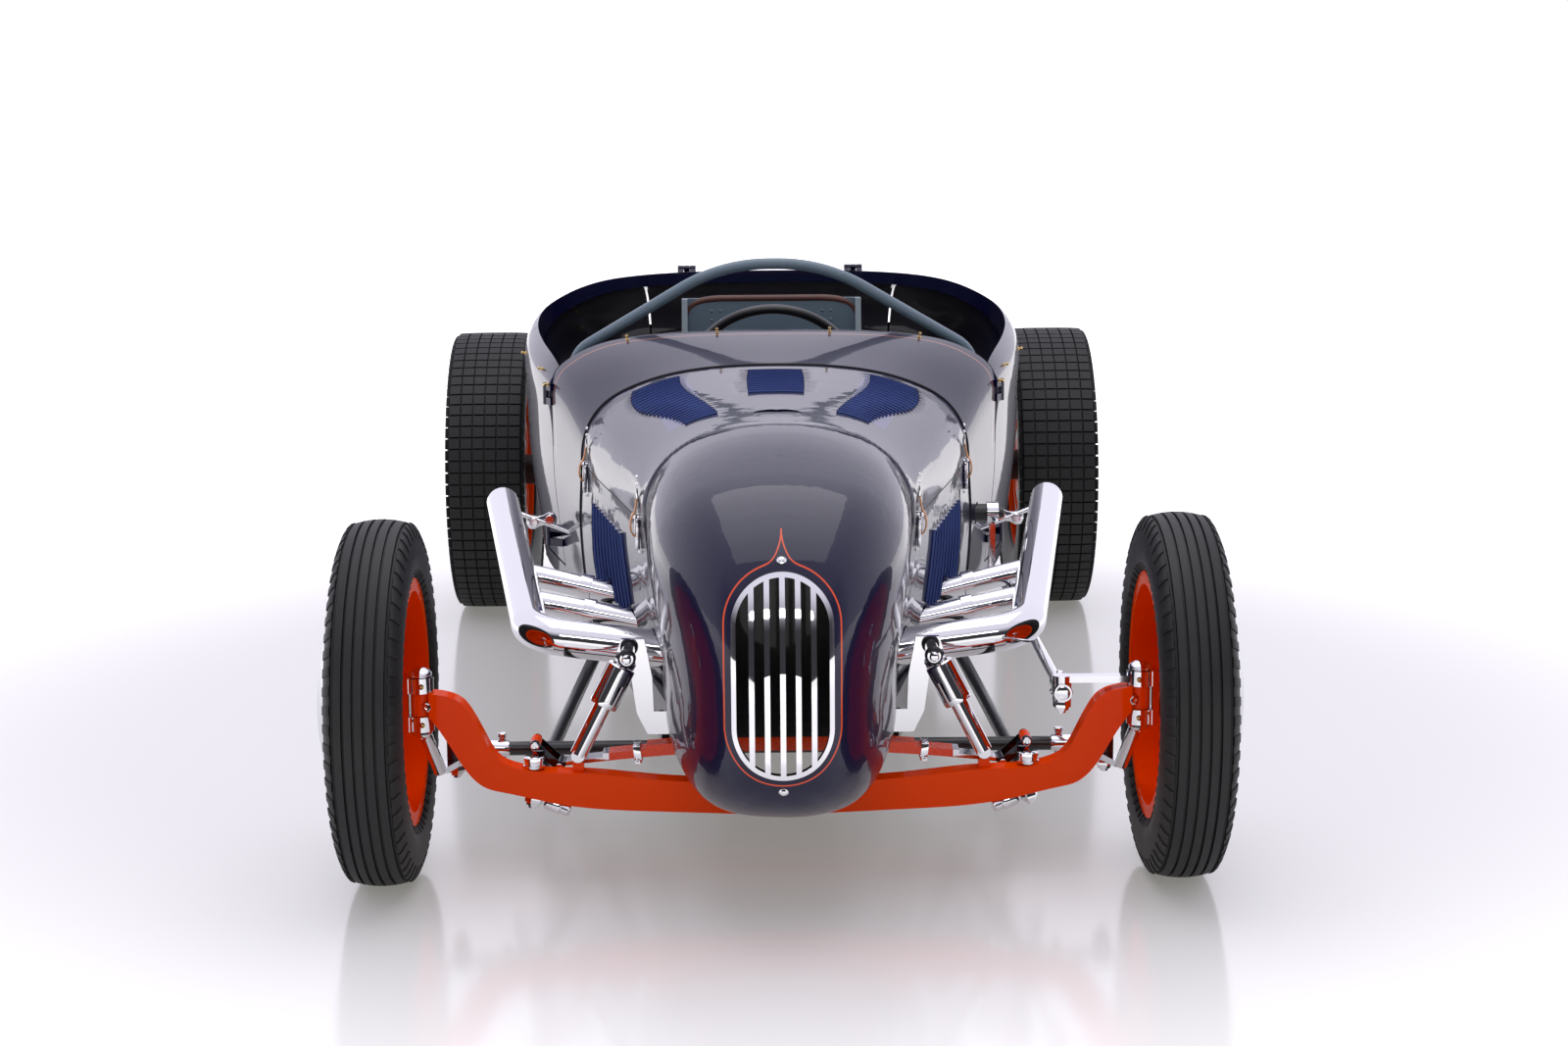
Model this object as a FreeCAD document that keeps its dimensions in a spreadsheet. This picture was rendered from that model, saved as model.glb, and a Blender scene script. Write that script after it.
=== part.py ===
import FreeCAD, Part
import math
import os
import re
import Sketcher
from FreeCAD import Placement, Rotation, Vector

# Street rod roadster with a track nose: one seat on the centre line, a V8 under the hood,
# a solid dropped front axle and open wheels.
# Axes: +X is the car's left side, the nose points along -Y, +Z is up.
# The origin lies on the ground under the middle of the car's length.
# Places along the car are counted from the front axle.

doc = FreeCAD.newDocument("StreetRodRoadster")
sheet = doc.addObject("Spreadsheet::Sheet", "sizes")

SIZES = (
    # whole car
    ("wheelbase", "2540"),
    ("nose_overhang", "480"),
    ("tail_overhang", "520"),
    ("seat_gap", "0.3"),
    ("running_gap", "0.08"),
    ("panel_gap", "5"),
    ("overrun", "40"),
    # front wheels
    ("front_track", "1422"),
    ("front_tyre_radius", "327.5"),
    ("front_tyre_half_width", "67.5"),
    ("front_tread_half_width", "50"),
    ("front_shoulder_drop", "9"),
    ("front_rim_half_width", "56"),
    # rear wheels
    ("rear_track", "1479"),
    ("rear_tyre_radius", "370"),
    ("rear_tyre_half_width", "100"),
    ("rear_tread_half_width", "92"),
    ("rear_shoulder_drop", "7"),
    ("rear_rim_half_width", "80"),
    # what both pairs of wheels share
    ("flange_radius", "222"),
    ("bead_radius", "204"),
    ("rim_wall", "6"),
    ("web_half_thickness", "4"),
    ("web_offset", "10"),
    ("hub_radius", "38"),
    ("hub_outboard", "45"),
    ("rear_hub_inboard", "-60"),
    ("disc_radius", "219"),
    ("disc_bulge", "58"),
    ("disc_thickness", "3"),
    ("drum_radius", "150"),
    ("drum_reach", "55"),
    # front axle, kingpins and steering
    ("kingpin_half_spacing", "645"),
    ("kingpin_radius", "11"),
    ("axle_thickness", "44"),
    ("axle_bottom", "118"),
    ("axle_end_bottom", "303"),
    ("axle_end_top", "345"),
    ("axle_end_radius", "18"),
    ("kingpin_proud", "10"),
    ("knuckle_top", "373"),
    ("knuckle_bottom", "275"),
    ("knuckle_radius", "24"),
    ("spindle_radius", "16"),
    ("knuckle_web", "12"),
    ("spindle_end_gap", "3"),
    ("joint_gap", "0.5"),
    ("tie_arm_back", "140"),
    ("tie_arm_inset", "45"),
    ("tie_arm_z", "180"),
    ("tie_rod_radius", "13"),
    ("rod_end_radius", "17"),
    ("steering_arm_length", "140"),
    ("steering_arm_z", "352"),
    ("arm_thickness", "12"),
    ("drag_link_radius", "10"),
    ("pitman_y", "1040"),
    ("pitman_x", "462"),
    ("pitman_shaft_z", "488"),
    ("pitman_shaft_radius", "12"),
    # body shell
    ("body_bottom", "300"),
    ("hood_wall", "5"),
    ("cowl_wall", "12"),
    ("tub_wall", "30"),
    ("nose_seam", "120"),
    ("cowl_front", "950"),
    ("cowl_rear", "1250"),
    ("cockpit_rear", "2350"),
    ("hood_split", "620"),
    ("nose_half_width", "243"),
    ("nose_top", "787"),
    ("nose_bottom", "195"),
    ("hood_rear_half_width", "413"),
    ("hood_rear_top", "822"),
    ("cowl_half_width", "494"),
    ("cowl_top", "866"),
    ("tub_half_width", "605"),
    ("tub_top", "915"),
    ("grille_half_width", "84"),
    ("grille_top", "637"),
    ("grille_bottom", "300"),
    ("grille_ring", "8"),
    ("grille_bar", "9"),
    ("grille_proud", "6"),
    ("door_rear", "1790"),
    ("door_bottom", "345"),
    ("deck_lid_front", "2480"),
    ("deck_lid_rear", "2880"),
    ("deck_lid_half_width", "330"),
    ("axle_notch_radius", "235"),
    ("louvre_rise", "6"),
    ("louvre_pitch", "27"),
    ("louvre_count", "21"),
    ("centre_louvre_count", "12"),
    ("side_louvre_pitch", "38"),
    ("side_louvre_count", "10"),
    ("side_louvre_bottom", "390"),
    ("side_louvre_top", "560"),
    ("hinge_pin_radius", "4"),
    ("hinge_barrel_radius", "7"),
    ("hinge_half_length", "24"),
    ("hinge_gap", "4"),
    # frame and running gear
    ("rail_width", "50"),
    ("rail_height", "90"),
    ("rail_bottom", "205"),
    ("rail_front", "20"),
    ("rail_kick_start", "2050"),
    ("rail_kick_end", "2250"),
    ("rail_kick_height", "225"),
    ("rail_rear", "2800"),
    ("rail_front_half_spacing", "170"),
    ("rail_rear_half_spacing", "330"),
    ("crossmember_radius", "24"),
    ("radiator_front", "20"),
    ("radiator_thickness", "70"),
    ("radiator_half_width", "160"),
    ("radiator_top", "700"),
    ("engine_half_width", "150"),
    ("engine_front", "170"),
    ("engine_rear", "790"),
    ("engine_top", "690"),
    ("gearbox_half_width", "105"),
    ("gearbox_rear", "1400"),
    ("gearbox_top", "430"),
    ("tunnel_clearance", "20"),
    ("rear_tunnel_top", "420"),
    ("torque_tube_radius", "38"),
    ("perch_half_spacing", "445"),
    ("perch_z", "236"),
    ("leaf_width", "44"),
    ("leaf_thickness", "7"),
    ("leaf_count", "4"),
    ("leaf_eye_radius", "10"),
    ("front_leaf_y", "55"),
    ("front_leaf_half_span", "402"),
    ("front_leaf_end_z", "196"),
    ("rear_spring_back", "175"),
    ("radius_rod_radius", "13"),
    ("radius_rod_front_z", "165"),
    ("shock_radius", "21"),
    ("shock_eye_radius", "12"),
    ("shock_foot_x", "365"),
    ("shock_foot_z", "226"),
    ("shock_head_x", "275"),
    ("shock_head_y", "22"),
    ("shock_head_z", "402"),
    ("bracket_offset", "8"),
    ("rear_axle_radius", "40"),
    ("rear_axle_shaft_radius", "18"),
    ("quick_change_radius", "140"),
    ("primary_radius", "22"),
    ("collector_radius", "35"),
    ("exhaust_wall", "2"),
    ("exhaust_end", "1180"),
    ("exhaust_tip_x", "600"),
    ("exhaust_tip_z", "497"),
    ("exhaust_elbow_x", "462"),
    ("exhaust_elbow_z", "402"),
    ("exhaust_bend", "75"),
    ("front_port_y", "220"),
    ("port_spacing", "190"),
    ("port_z", "362"),
    ("hoop_radius", "12.5"),
    ("hoop_y", "1345"),
    ("hoop_top", "1006"),
    ("hoop_half_width", "455"),
    ("seat_half_width", "220"),
    ("seat_back_y", "1950"),
    ("seat_top", "876"),
    ("seat_floor", "440"),
    ("seat_wall", "14"),
    ("steering_wheel_radius", "200"),
    ("steering_rim_radius", "11"),
    ("steering_wheel_y", "1605"),
    ("steering_wheel_z", "700"),
    ("column_radius", "19"),
    # places and half sizes worked out from the above
    ("louvre_front", "=cowl_front - panel_gap * 10 - louvre_pitch * louvre_count"),
    ("centre_louvre_front", "=cowl_front - panel_gap * 16 - louvre_pitch * centre_louvre_count"),
    ("side_louvre_front", "=cowl_front - panel_gap * 30 - side_louvre_pitch * side_louvre_count"),
    ("front_axle_y", "=nose_overhang - (nose_overhang + wheelbase + tail_overhang) / 2"),
    ("rear_axle_y", "=front_axle_y + wheelbase"),
    ("front_bead_edge", "=front_rim_half_width - rim_wall"),
    ("rear_bead_edge", "=rear_rim_half_width - rim_wall"),
    ("front_shoulder_radius", "=front_tyre_radius - front_shoulder_drop"),
    ("rear_shoulder_radius", "=rear_tyre_radius - rear_shoulder_drop"),
    ("front_bulge_radius", "=(front_tyre_radius + bead_radius) / 2"),
    ("rear_bulge_radius", "=(rear_tyre_radius + bead_radius) / 2"),
    ("tyre_bore", "=bead_radius + seat_gap"),
    ("bead_top", "=flange_radius + seat_gap"),
    ("low_wall_radius", "=flange_radius + 2 * rim_wall"),
    ("front_low_wall_half_width", "=front_tyre_half_width * 0.91"),
    ("rear_low_wall_half_width", "=rear_tyre_half_width * 0.91"),
    ("front_high_wall_half_width", "=front_tyre_half_width * 0.93"),
    ("rear_high_wall_half_width", "=rear_tyre_half_width * 0.985"),
    ("front_high_wall_radius", "=front_bulge_radius + (front_shoulder_radius - front_bulge_radius) * 0.6"),
    ("rear_high_wall_radius", "=rear_bulge_radius + (rear_shoulder_radius - rear_bulge_radius) * 0.6"),
    ("front_bead_seat_edge", "=front_bead_edge - seat_gap"),
    ("rear_bead_seat_edge", "=rear_bead_edge - seat_gap"),
    ("front_crown_half_width", "=front_tread_half_width * 0.7"),
    ("rear_crown_half_width", "=rear_tread_half_width * 0.85"),
    ("rear_hub_bore", "=rear_axle_shaft_radius + running_gap"),
    ("barrel_inside", "=bead_radius - rim_wall"),
    ("web_front_face", "=web_offset + web_half_thickness"),
    ("web_back_face", "=web_offset - web_half_thickness"),
    ("hub_bore", "=spindle_radius + running_gap"),
    ("knuckle_web_outside", "=kingpin_half_spacing + axle_end_radius + spindle_end_gap / 2 + knuckle_web"),
    ("front_hub_inboard", "=knuckle_web_outside + spindle_end_gap - front_track / 2"),
    ("drum_inboard", "=-drum_reach"),
    ("drum_inside", "=drum_radius - rim_wall"),
    ("rail_top", "=rail_bottom + rail_height"),
    ("engine_bottom", "=rail_bottom + 2 * crossmember_radius + seat_gap"),
    ("floor_bottom", "=rail_top + seat_gap"),
    ("floor_top", "=body_bottom - seat_gap"),
    ("tunnel_half_width", "=gearbox_half_width + tunnel_clearance"),
    ("tunnel_top", "=gearbox_top + tunnel_clearance + floor_top - floor_bottom"),
    ("steering_box_bottom", "=tunnel_top + seat_gap"),
)

for row, (alias, content) in enumerate(SIZES, 1):
    sheet.set("A%d" % row, alias)
    sheet.set("B%d" % row, content)
    sheet.setAlias("B%d" % row, alias)
doc.recompute()


def size(alias):
    return float(sheet.get(alias))


def at(distance):
    """The y of a place counted from the front axle."""
    return size("front_axle_y") + distance


def cell(alias):
    """A sheet cell, or its negative, as an expression."""
    if alias.startswith("-"):
        return "-sizes." + alias[1:]
    return "sizes." + alias


def value(alias):
    if alias.startswith("-"):
        return -size(alias[1:])
    return size(alias)


def keep_shape(label, shape):
    """A sub-part whose shape comes from lofts, sweeps and cuts of named sizes."""
    feature = doc.addObject("Part::Feature", label)
    feature.Label = label
    feature.Shape = shape
    return feature


def box(low, high):
    span = high - low
    return Part.makeBox(span.x, span.y, span.z, low)


def rod(start, end, radius):
    axis = end - start
    return Part.makeCylinder(radius, axis.Length, start, axis)


def prism(points, reach):
    """A flat outline, closed and pushed along one direction."""
    return Part.Face(Part.makePolygon(points + [points[0]])).extrude(reach)


def both_sides(shape):
    """A shape and its mirror image on the car's other side."""
    return [shape, shape.mirror(Vector(0, 0, 0), Vector(1, 0, 0))]


def joined(shapes):
    first, rest = shapes[0], shapes[1:]
    whole = first.multiFuse(rest) if rest else first
    return whole.removeSplitter()


# Revolved pieces: the outline lies in a plane through the wheel's axle, with corners
# given as cells of the sheet: distance along the axle, then radius.
def revolved_body(label, corners, centre, side):
    body = doc.addObject("PartDesign::Body", label)
    body.Label = label
    outline = body.newObject("Sketcher::SketchObject", label + "_outline")
    plane = [f for f in body.Origin.OriginFeatures if f.Role == "XY_Plane"][0]
    outline.AttachmentSupport = [(plane, "")]
    outline.MapMode = "FlatFace"
    points = [Vector(value(along), value(radius), 0) for along, radius in corners]
    count = len(points)
    for index in range(count):
        outline.addGeometry(Part.LineSegment(points[index], points[(index + 1) % count]))
    for index in range(count):
        outline.addConstraint(Sketcher.Constraint("Coincident", index, 2, (index + 1) % count, 1))
    for index, (along, radius) in enumerate(corners):
        for kind, name in (("DistanceX", along), ("DistanceY", radius)):
            number = outline.addConstraint(
                Sketcher.Constraint(kind, -1, 1, index, 1, value(name)))
            outline.setExpression("Constraints[%d]" % number, cell(name))
    turned = body.newObject("PartDesign::Revolution", label + "_turned")
    turned.Profile = outline
    turned.ReferenceAxis = (outline, ["H_Axis"])
    turned.Angle = 360
    body.Tip = turned
    flip = Rotation(Vector(0, 0, 1), 0 if side > 0 else 180)
    body.Placement = Placement(centre, flip)
    return body


def wheel(axle, side_name, side, hub_inboard, bore):
    """A disc wheel with its rim, web and hub, turned in one piece."""
    half = axle + "_rim_half_width"
    bead = axle + "_bead_edge"
    centre = Vector(side * size(axle + "_track") / 2, at_axle(axle), size(axle + "_tyre_radius"))
    drum = []
    if axle == "rear":
        drum = [
            ("web_back_face", "drum_inside"),
            ("drum_inboard", "drum_inside"),
            ("drum_inboard", "drum_radius"),
            ("web_back_face", "drum_radius"),
        ]
    corners = [
        (half, "flange_radius"),
        (half, "barrel_inside"),
        ("web_front_face", "barrel_inside"),
        ("web_front_face", "hub_radius"),
        ("hub_outboard", "hub_radius"),
        ("hub_outboard", bore),
        (hub_inboard, bore),
        (hub_inboard, "hub_radius"),
        ("web_back_face", "hub_radius"),
    ] + drum + [
        ("web_back_face", "barrel_inside"),
        ("-" + half, "barrel_inside"),
        ("-" + half, "flange_radius"),
        ("-" + bead, "flange_radius"),
        ("-" + bead, "bead_radius"),
        (bead, "bead_radius"),
        (bead, "flange_radius"),
    ]
    return revolved_body("wheel_%s_%s" % (axle, side_name), corners, centre, side)


def tyre(axle, side_name, side):
    """The tyre's outline from its bead over the sidewalls to the flat tread."""
    tread = axle + "_tread_half_width"
    wide = axle + "_tyre_half_width"
    bead = axle + "_bead_seat_edge"
    centre = Vector(side * size(axle + "_track") / 2, at_axle(axle), size(axle + "_tyre_radius"))
    corners = [
        (bead, "tyre_bore"),
        (bead, "bead_top"),
        (axle + "_low_wall_half_width", "low_wall_radius"),
        (wide, axle + "_bulge_radius"),
        (axle + "_high_wall_half_width", axle + "_high_wall_radius"),
        (tread, axle + "_shoulder_radius"),
        (axle + "_crown_half_width", axle + "_tyre_radius"),
        ("-" + axle + "_crown_half_width", axle + "_tyre_radius"),
        ("-" + tread, axle + "_shoulder_radius"),
        ("-" + axle + "_high_wall_half_width", axle + "_high_wall_radius"),
        ("-" + wide, axle + "_bulge_radius"),
        ("-" + axle + "_low_wall_half_width", "low_wall_radius"),
        ("-" + bead, "bead_top"),
        ("-" + bead, "tyre_bore"),
    ]
    return revolved_body("tyre_%s_%s" % (axle, side_name), corners, centre, side)


def at_axle(axle):
    return size("front_axle_y") if axle == "front" else size("rear_axle_y")


def disc(axle, side_name, side):
    """The domed spun disc that covers a wheel's outer face."""
    radius = size("disc_radius")
    bulge = size("disc_bulge")
    skin = size("disc_thickness")
    seat = size(axle + "_rim_half_width") + size("seat_gap")
    centre = Vector(side * size(axle + "_track") / 2, at_axle(axle), size(axle + "_tyre_radius"))
    dome = (radius ** 2 + bulge ** 2) / (2 * bulge)
    inner_bulge = bulge - skin
    angle = math.asin(radius / dome)
    middle = Vector(seat + bulge - dome, 0, 0)
    rim = Vector(seat, radius, 0)
    half = angle / 2
    between = middle + Vector(dome * math.cos(half), dome * math.sin(half), 0)
    outside = Part.Arc(rim, between, Vector(seat + bulge, 0, 0)).toShape()
    inner_between = Vector(between.x - skin, between.y, 0)
    inside = Part.Arc(Vector(seat + inner_bulge, 0, 0), inner_between,
                      Vector(seat, radius - skin, 0)).toShape()
    edge = Part.makeLine(Vector(seat, radius - skin, 0), rim)
    crown = Part.makeLine(Vector(seat + bulge, 0, 0), Vector(seat + inner_bulge, 0, 0))
    face = Part.Face(Part.Wire([outside, crown, inside, edge]))
    shape = face.revolve(Vector(0, 0, 0), Vector(1, 0, 0), 360)
    feature = keep_shape("disc_%s_%s" % (axle, side_name), shape)
    feature.Placement = Placement(centre, Rotation(Vector(0, 0, 1), 0 if side > 0 else 180))
    return feature


SIDES = (("left", 1), ("right", -1))
for side_name, side in SIDES:
    wheel("front", side_name, side, "front_hub_inboard", "hub_bore")
    tyre("front", side_name, side)
    disc("front", side_name, side)
    wheel("rear", side_name, side, "rear_hub_inboard", "rear_hub_bore")
    tyre("rear", side_name, side)
    disc("rear", side_name, side)

# The body shell. Each section across the car is half an arch, from the bottom of the side
# up to the crown, in shares of its half width and of its height.
hood_front_shares = ((0.78, 0), (0.90, 0.26), (0.965, 0.455), (1.0, 0.65), (0.985, 0.76), (0.93, 0.82),
                     (0.85, 0.875), (0.72, 0.93), (0.56, 0.97), (0.32, 0.993), (0, 1))
cowl_front_shares = ((0.965, 0), (0.99, 0.2), (1.0, 0.42), (0.99, 0.57), (0.975, 0.71), (0.935, 0.785),
                     (0.87, 0.848), (0.74, 0.91), (0.57, 0.957), (0.32, 0.99), (0, 1))
cowl_rear_shares = ((0.94, 0), (0.968, 0.22), (0.992, 0.45), (1.0, 0.68), (0.995, 0.81), (0.965, 0.86),
                    (0.91, 0.90), (0.79, 0.95), (0.60, 0.982), (0.34, 0.996), (0, 1))
# Along the tub: share of its length, of its half width, of its top and of its bottom.
tub_station_shares = ((0.166, 0.932, 0.972, 1), (0.33, 0.988, 0.99, 1), (0.47, 1, 1, 1),
                      (0.608, 0.975, 1, 1), (0.746, 0.9, 0.965, 1), (0.867, 0.78, 0.865, 1.02),
                      (0.956, 0.62, 0.71, 1.06), (1, 0.47, 0.57, 1.12))
hinge_height_shares = (0.2, 0.76)
# The hood's louvred panels: the inner and outer edge at the front and at the rear, in shares
# of the hood's half width there.
louvre_front_shares = (0.43, 0.71)
louvre_rear_shares = (0.475, 0.70)
centre_louvre_share = 0.16
# The cockpit opening in plan: share of the way from the cowl to its rear edge, then of the
# tub's half width inside the wall.
opening_shares = ((-0.1, 0.78), (0.27, 0.925), (0.545, 0.985), (0.75, 0.992), (0.85, 0.965), (0.935, 0.85),
                  (0.985, 0.62), (0.998, 0.3), (1, 0))
# The closed sections of the nose: half, from the bottom round to the top.
nose_shares = ((0, 0), (0.42, 0.012), (0.72, 0.06), (0.86, 0.16), (0.885, 0.32), (0.915, 0.46),
               (0.965, 0.60), (1.0, 0.73), (0.985, 0.80), (0.93, 0.855), (0.85, 0.90), (0.70, 0.948),
               (0.5, 0.978), (0.27, 0.994), (0, 1))
# Along the nose: share of its length behind the tip, of its half width, of its height above
# the bottom for the section's bottom and top.
nose_station_shares = ((0.008, 0.17, 0.25, 0.47), (0.045, 0.36, 0.135, 0.63), (0.12, 0.53, 0.06, 0.765),
                       (0.235, 0.69, 0.01, 0.855), (0.40, 0.835, -0.01, 0.93), (0.60, 0.935, -0.01, 0.975),
                       (0.80, 0.98, -0.005, 0.995), (1, 1, 0, 1))


def blend_shares(first, second, share):
    return tuple((a[0] + (b[0] - a[0]) * share, a[1] + (b[1] - a[1]) * share)
                 for a, b in zip(first, second))


def stations():
    """Every section of the body shell, from the nose seam to the tail."""
    bottom = size("body_bottom")
    front = (size("nose_seam"), size("nose_half_width"), size("nose_top"), bottom, hood_front_shares)
    firewall = (size("cowl_front"), size("hood_rear_half_width"), size("hood_rear_top"), bottom,
                cowl_front_shares)
    between = tuple((front[i] + firewall[i]) / 2 for i in range(4))
    middle = between + (blend_shares(hood_front_shares, cowl_front_shares, 1 / 2),)
    rear = (size("cowl_rear"), size("cowl_half_width"), size("cowl_top"), bottom, cowl_rear_shares)
    found = [front, middle, firewall, rear]
    length = size("wheelbase") + size("tail_overhang") - size("cowl_rear")
    for along, width, top, low in tub_station_shares:
        found.append((size("cowl_rear") + along * length, width * size("tub_half_width"),
                      top * size("tub_top"), low * bottom, cowl_rear_shares))
    return found


def arch_wire(y, half_points, floor_z):
    """An arch across the car, closed by straight legs down to floor_z."""
    right = [Vector(x, y, z) for x, z in half_points]
    left = [Vector(-x, y, z) for x, z in half_points[-2::-1]]
    curve = Part.BSplineCurve()
    curve.interpolate(right + left)
    foot = Vector(right[0].x, y, floor_z)
    other = Vector(-right[0].x, y, floor_z)
    return Part.Wire([
        curve.toShape(),
        Part.makeLine(left[-1], other),
        Part.makeLine(other, foot),
        Part.makeLine(foot, right[0]),
    ])


def body_solid(wall):
    """The whole body from the nose seam to the tail, inset by a wall."""
    wires = []
    tail = size("wheelbase") + size("tail_overhang") - wall
    for along, width, top, low, shares in stations():
        half = [((width - wall) * x, low + (top - wall - low) * z) for x, z in shares]
        wires.append(arch_wire(at(min(along, tail)), half, low - size("overrun")))
    return Part.makeLoft(wires, True, False)


def slab(front, rear, low, high):
    """A block across the whole car between two places along it and two heights."""
    side = size("rear_track")
    return box(Vector(-side, at(front), low), Vector(side, at(rear), high))


def nose_solid(growth):
    wires = []
    length = size("nose_overhang") + size("nose_seam")
    height = size("nose_top") - size("nose_bottom")
    for along, width, low, high in nose_station_shares:
        y = at(along * length - size("nose_overhang") - growth * (1 - along))
        wide = width * size("nose_half_width") + growth
        bottom = size("nose_bottom") + low * height - growth
        top = size("nose_bottom") + high * height + growth
        right = [Vector(wide * x, y, bottom + (top - bottom) * z) for x, z in nose_shares]
        left = [Vector(-p.x, p.y, p.z) for p in right[-2:0:-1]]
        curve = Part.BSplineCurve()
        curve.interpolate(right + left, PeriodicFlag=True)
        wires.append(Part.Wire([curve.toShape()]))
    return Part.makeLoft(wires, True, False)


far_top = size("tub_top") + size("overrun")
ground = -size("overrun")
outer_body = body_solid(0)
seam = size("seat_gap")
shell_low = size("body_bottom") + seam

# Nose: a closed shell with its oval grille opening, cut away over the axle and spring.
nose_outside = nose_solid(0)
nose_inside = nose_solid(-size("hood_wall"))


def oval(half_width, low, high, front, rear):
    """An upright oval block that runs along the car."""
    ends = []
    for z in (low + half_width, high - half_width):
        ends.append(rod(Vector(0, at(front), z), Vector(0, at(rear), z), half_width))
    core = box(Vector(-half_width, at(front), low + half_width),
               Vector(half_width, at(rear), high - half_width))
    return joined(ends + [core])


grille_front = -size("nose_overhang") - size("overrun")
grille_rear = -size("nose_overhang") / 2
ring_inner = size("grille_half_width") - size("grille_ring")
opening = oval(size("grille_half_width") + seam, size("grille_bottom") - seam, size("grille_top") + seam,
               grille_front, grille_rear)
axle_gap = slab(-size("nose_overhang") / 5, size("nose_seam") + size("overrun"),
                ground, size("body_bottom"))
nose = nose_outside.cut(nose_inside).cut(opening).cut(axle_gap)
keep_shape("nose", nose)

# Grille: an oval ring and upright bars that follow the nose's own curve.
band = nose_solid(size("grille_proud")).cut(nose_solid(-size("grille_proud")))
face_pattern = [oval(size("grille_half_width"), size("grille_bottom"), size("grille_top"),
                     grille_front, grille_rear).cut(
    oval(ring_inner, size("grille_bottom") + size("grille_ring"),
         size("grille_top") - size("grille_ring"), grille_front - size("overrun"), grille_rear + size("overrun")))]
bar_count = 5
bar_pitch = 2 * ring_inner / (bar_count + 1)
for index in range(bar_count):
    x = (index - (bar_count - 1) / 2) * bar_pitch
    bar = box(Vector(x - size("grille_bar") / 2, at(grille_front), size("grille_bottom")),
              Vector(x + size("grille_bar") / 2, at(grille_rear), size("grille_top")))
    face_pattern.append(bar.common(oval(size("grille_half_width"), size("grille_bottom"), size("grille_top"),
                                        grille_front, grille_rear)))
keep_shape("grille", band.common(joined(face_pattern)))

# Hood: a top panel with a slot for air, and two side panels pierced by the exhaust.
hood_shell = outer_body.cut(body_solid(size("hood_wall")))
hood_span = (size("nose_seam") + seam, size("cowl_front") - seam)
hood_top = hood_shell.common(slab(hood_span[0], hood_span[1], size("hood_split") + seam, far_top))
scoop_y = size("nose_seam") + (size("cowl_front") - size("nose_seam")) / 5
scoop_half_width = size("nose_half_width") / 5
scoop_radius = size("grille_half_width") / 2
scoop = joined([
    rod(Vector(-scoop_half_width / 3, at(scoop_y), size("hood_split")),
        Vector(-scoop_half_width / 3, at(scoop_y), far_top), scoop_radius * 3 / 4),
    rod(Vector(scoop_half_width / 3, at(scoop_y), size("hood_split")),
        Vector(scoop_half_width / 3, at(scoop_y), far_top), scoop_radius * 3 / 4),
])


def skin_point(start, heading):
    """Where a line from inside the body leaves the arch of its skin."""
    line = Part.LineSegment(start, start + heading * size("rear_track"))
    crossings = [Vector(p.X, p.Y, p.Z) for p in line.intersectCS(skin_surface)[0]]
    return max(crossings, key=lambda place: (place - start).dot(heading))


def louvre(first, middle, last, axis, length):
    """A wedge turned over three points of the skin: it stands up at its front and falls back to the skin."""
    circle = Part.Arc(first, middle, last).toShape().Curve
    spokes = []
    for place in (first, last):
        spoke = place - circle.Center
        spokes.append((spoke - axis * spoke.dot(axis)).normalize())
    low = first - spokes[0] * size("hood_wall") / 2
    tail = first + axis * length - spokes[0] * size("hood_wall") / 3
    section = [low, first + spokes[0] * size("louvre_rise"), tail, low + axis * length]
    face = Part.Face(Part.makePolygon(section + [section[0]]))
    turn = math.degrees(spokes[0].getAngle(spokes[1]))
    if spokes[0].cross(spokes[1]).dot(axis) < 0:
        turn = -turn
    return face.revolve(circle.Center, axis, turn)


def louvre_row(front, pitch, count, starts, heading):
    """Louvres one behind the other; starts gives, for a share of the row, three places inside the body."""
    rows = []
    for index in range(count + 1):
        places = starts(index / count, at(front + index * pitch))
        rows.append([skin_point(place, heading) for place in places])
    found = []
    for row, behind in zip(rows, rows[1:]):
        axis = (behind[1] - row[1]).normalize()
        found.append(louvre(row[0], row[1], row[2], axis, pitch - 2 * size("joint_gap")))
    return found


def top_starts(share, y):
    along = (y - at(size("nose_seam"))) / (size("cowl_front") - size("nose_seam"))
    half_width = size("nose_half_width") + (size("hood_rear_half_width") - size("nose_half_width")) * along
    edges = [(a + (b - a) * share) * half_width for a, b in zip(louvre_front_shares, louvre_rear_shares)]
    return [Vector(x, y, size("hood_split")) for x in (edges[0], sum(edges) / 2, edges[1])]


def centre_starts(share, y):
    half = centre_louvre_share * (size("nose_half_width") + size("hood_rear_half_width")) / 2
    return [Vector(x, y, size("hood_split")) for x in (-half, 0, half)]


def side_starts(share, y):
    low = size("side_louvre_bottom")
    high = size("side_louvre_top")
    return [Vector(0, y, z) for z in (low, (low + high) / 2, high)]


# Louvres: pressed up from the panels in rows, each open to the front.
skin_surface = max(outer_body.Faces, key=lambda face: face.Area).Surface
top_louvres = louvre_row(size("centre_louvre_front"), size("louvre_pitch"), int(size("centre_louvre_count")),
                         centre_starts, Vector(0, 0, 1))
for shape in louvre_row(size("louvre_front"), size("louvre_pitch"), int(size("louvre_count")),
                        top_starts, Vector(0, 0, 1)):
    top_louvres += both_sides(shape)
side_louvres = []
for shape in louvre_row(size("side_louvre_front"), size("side_louvre_pitch"), int(size("side_louvre_count")),
                        side_starts, Vector(1, 0, 0)):
    side_louvres += both_sides(shape)
keep_shape("hood_top", hood_top.cut(scoop).multiFuse(top_louvres))

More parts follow.
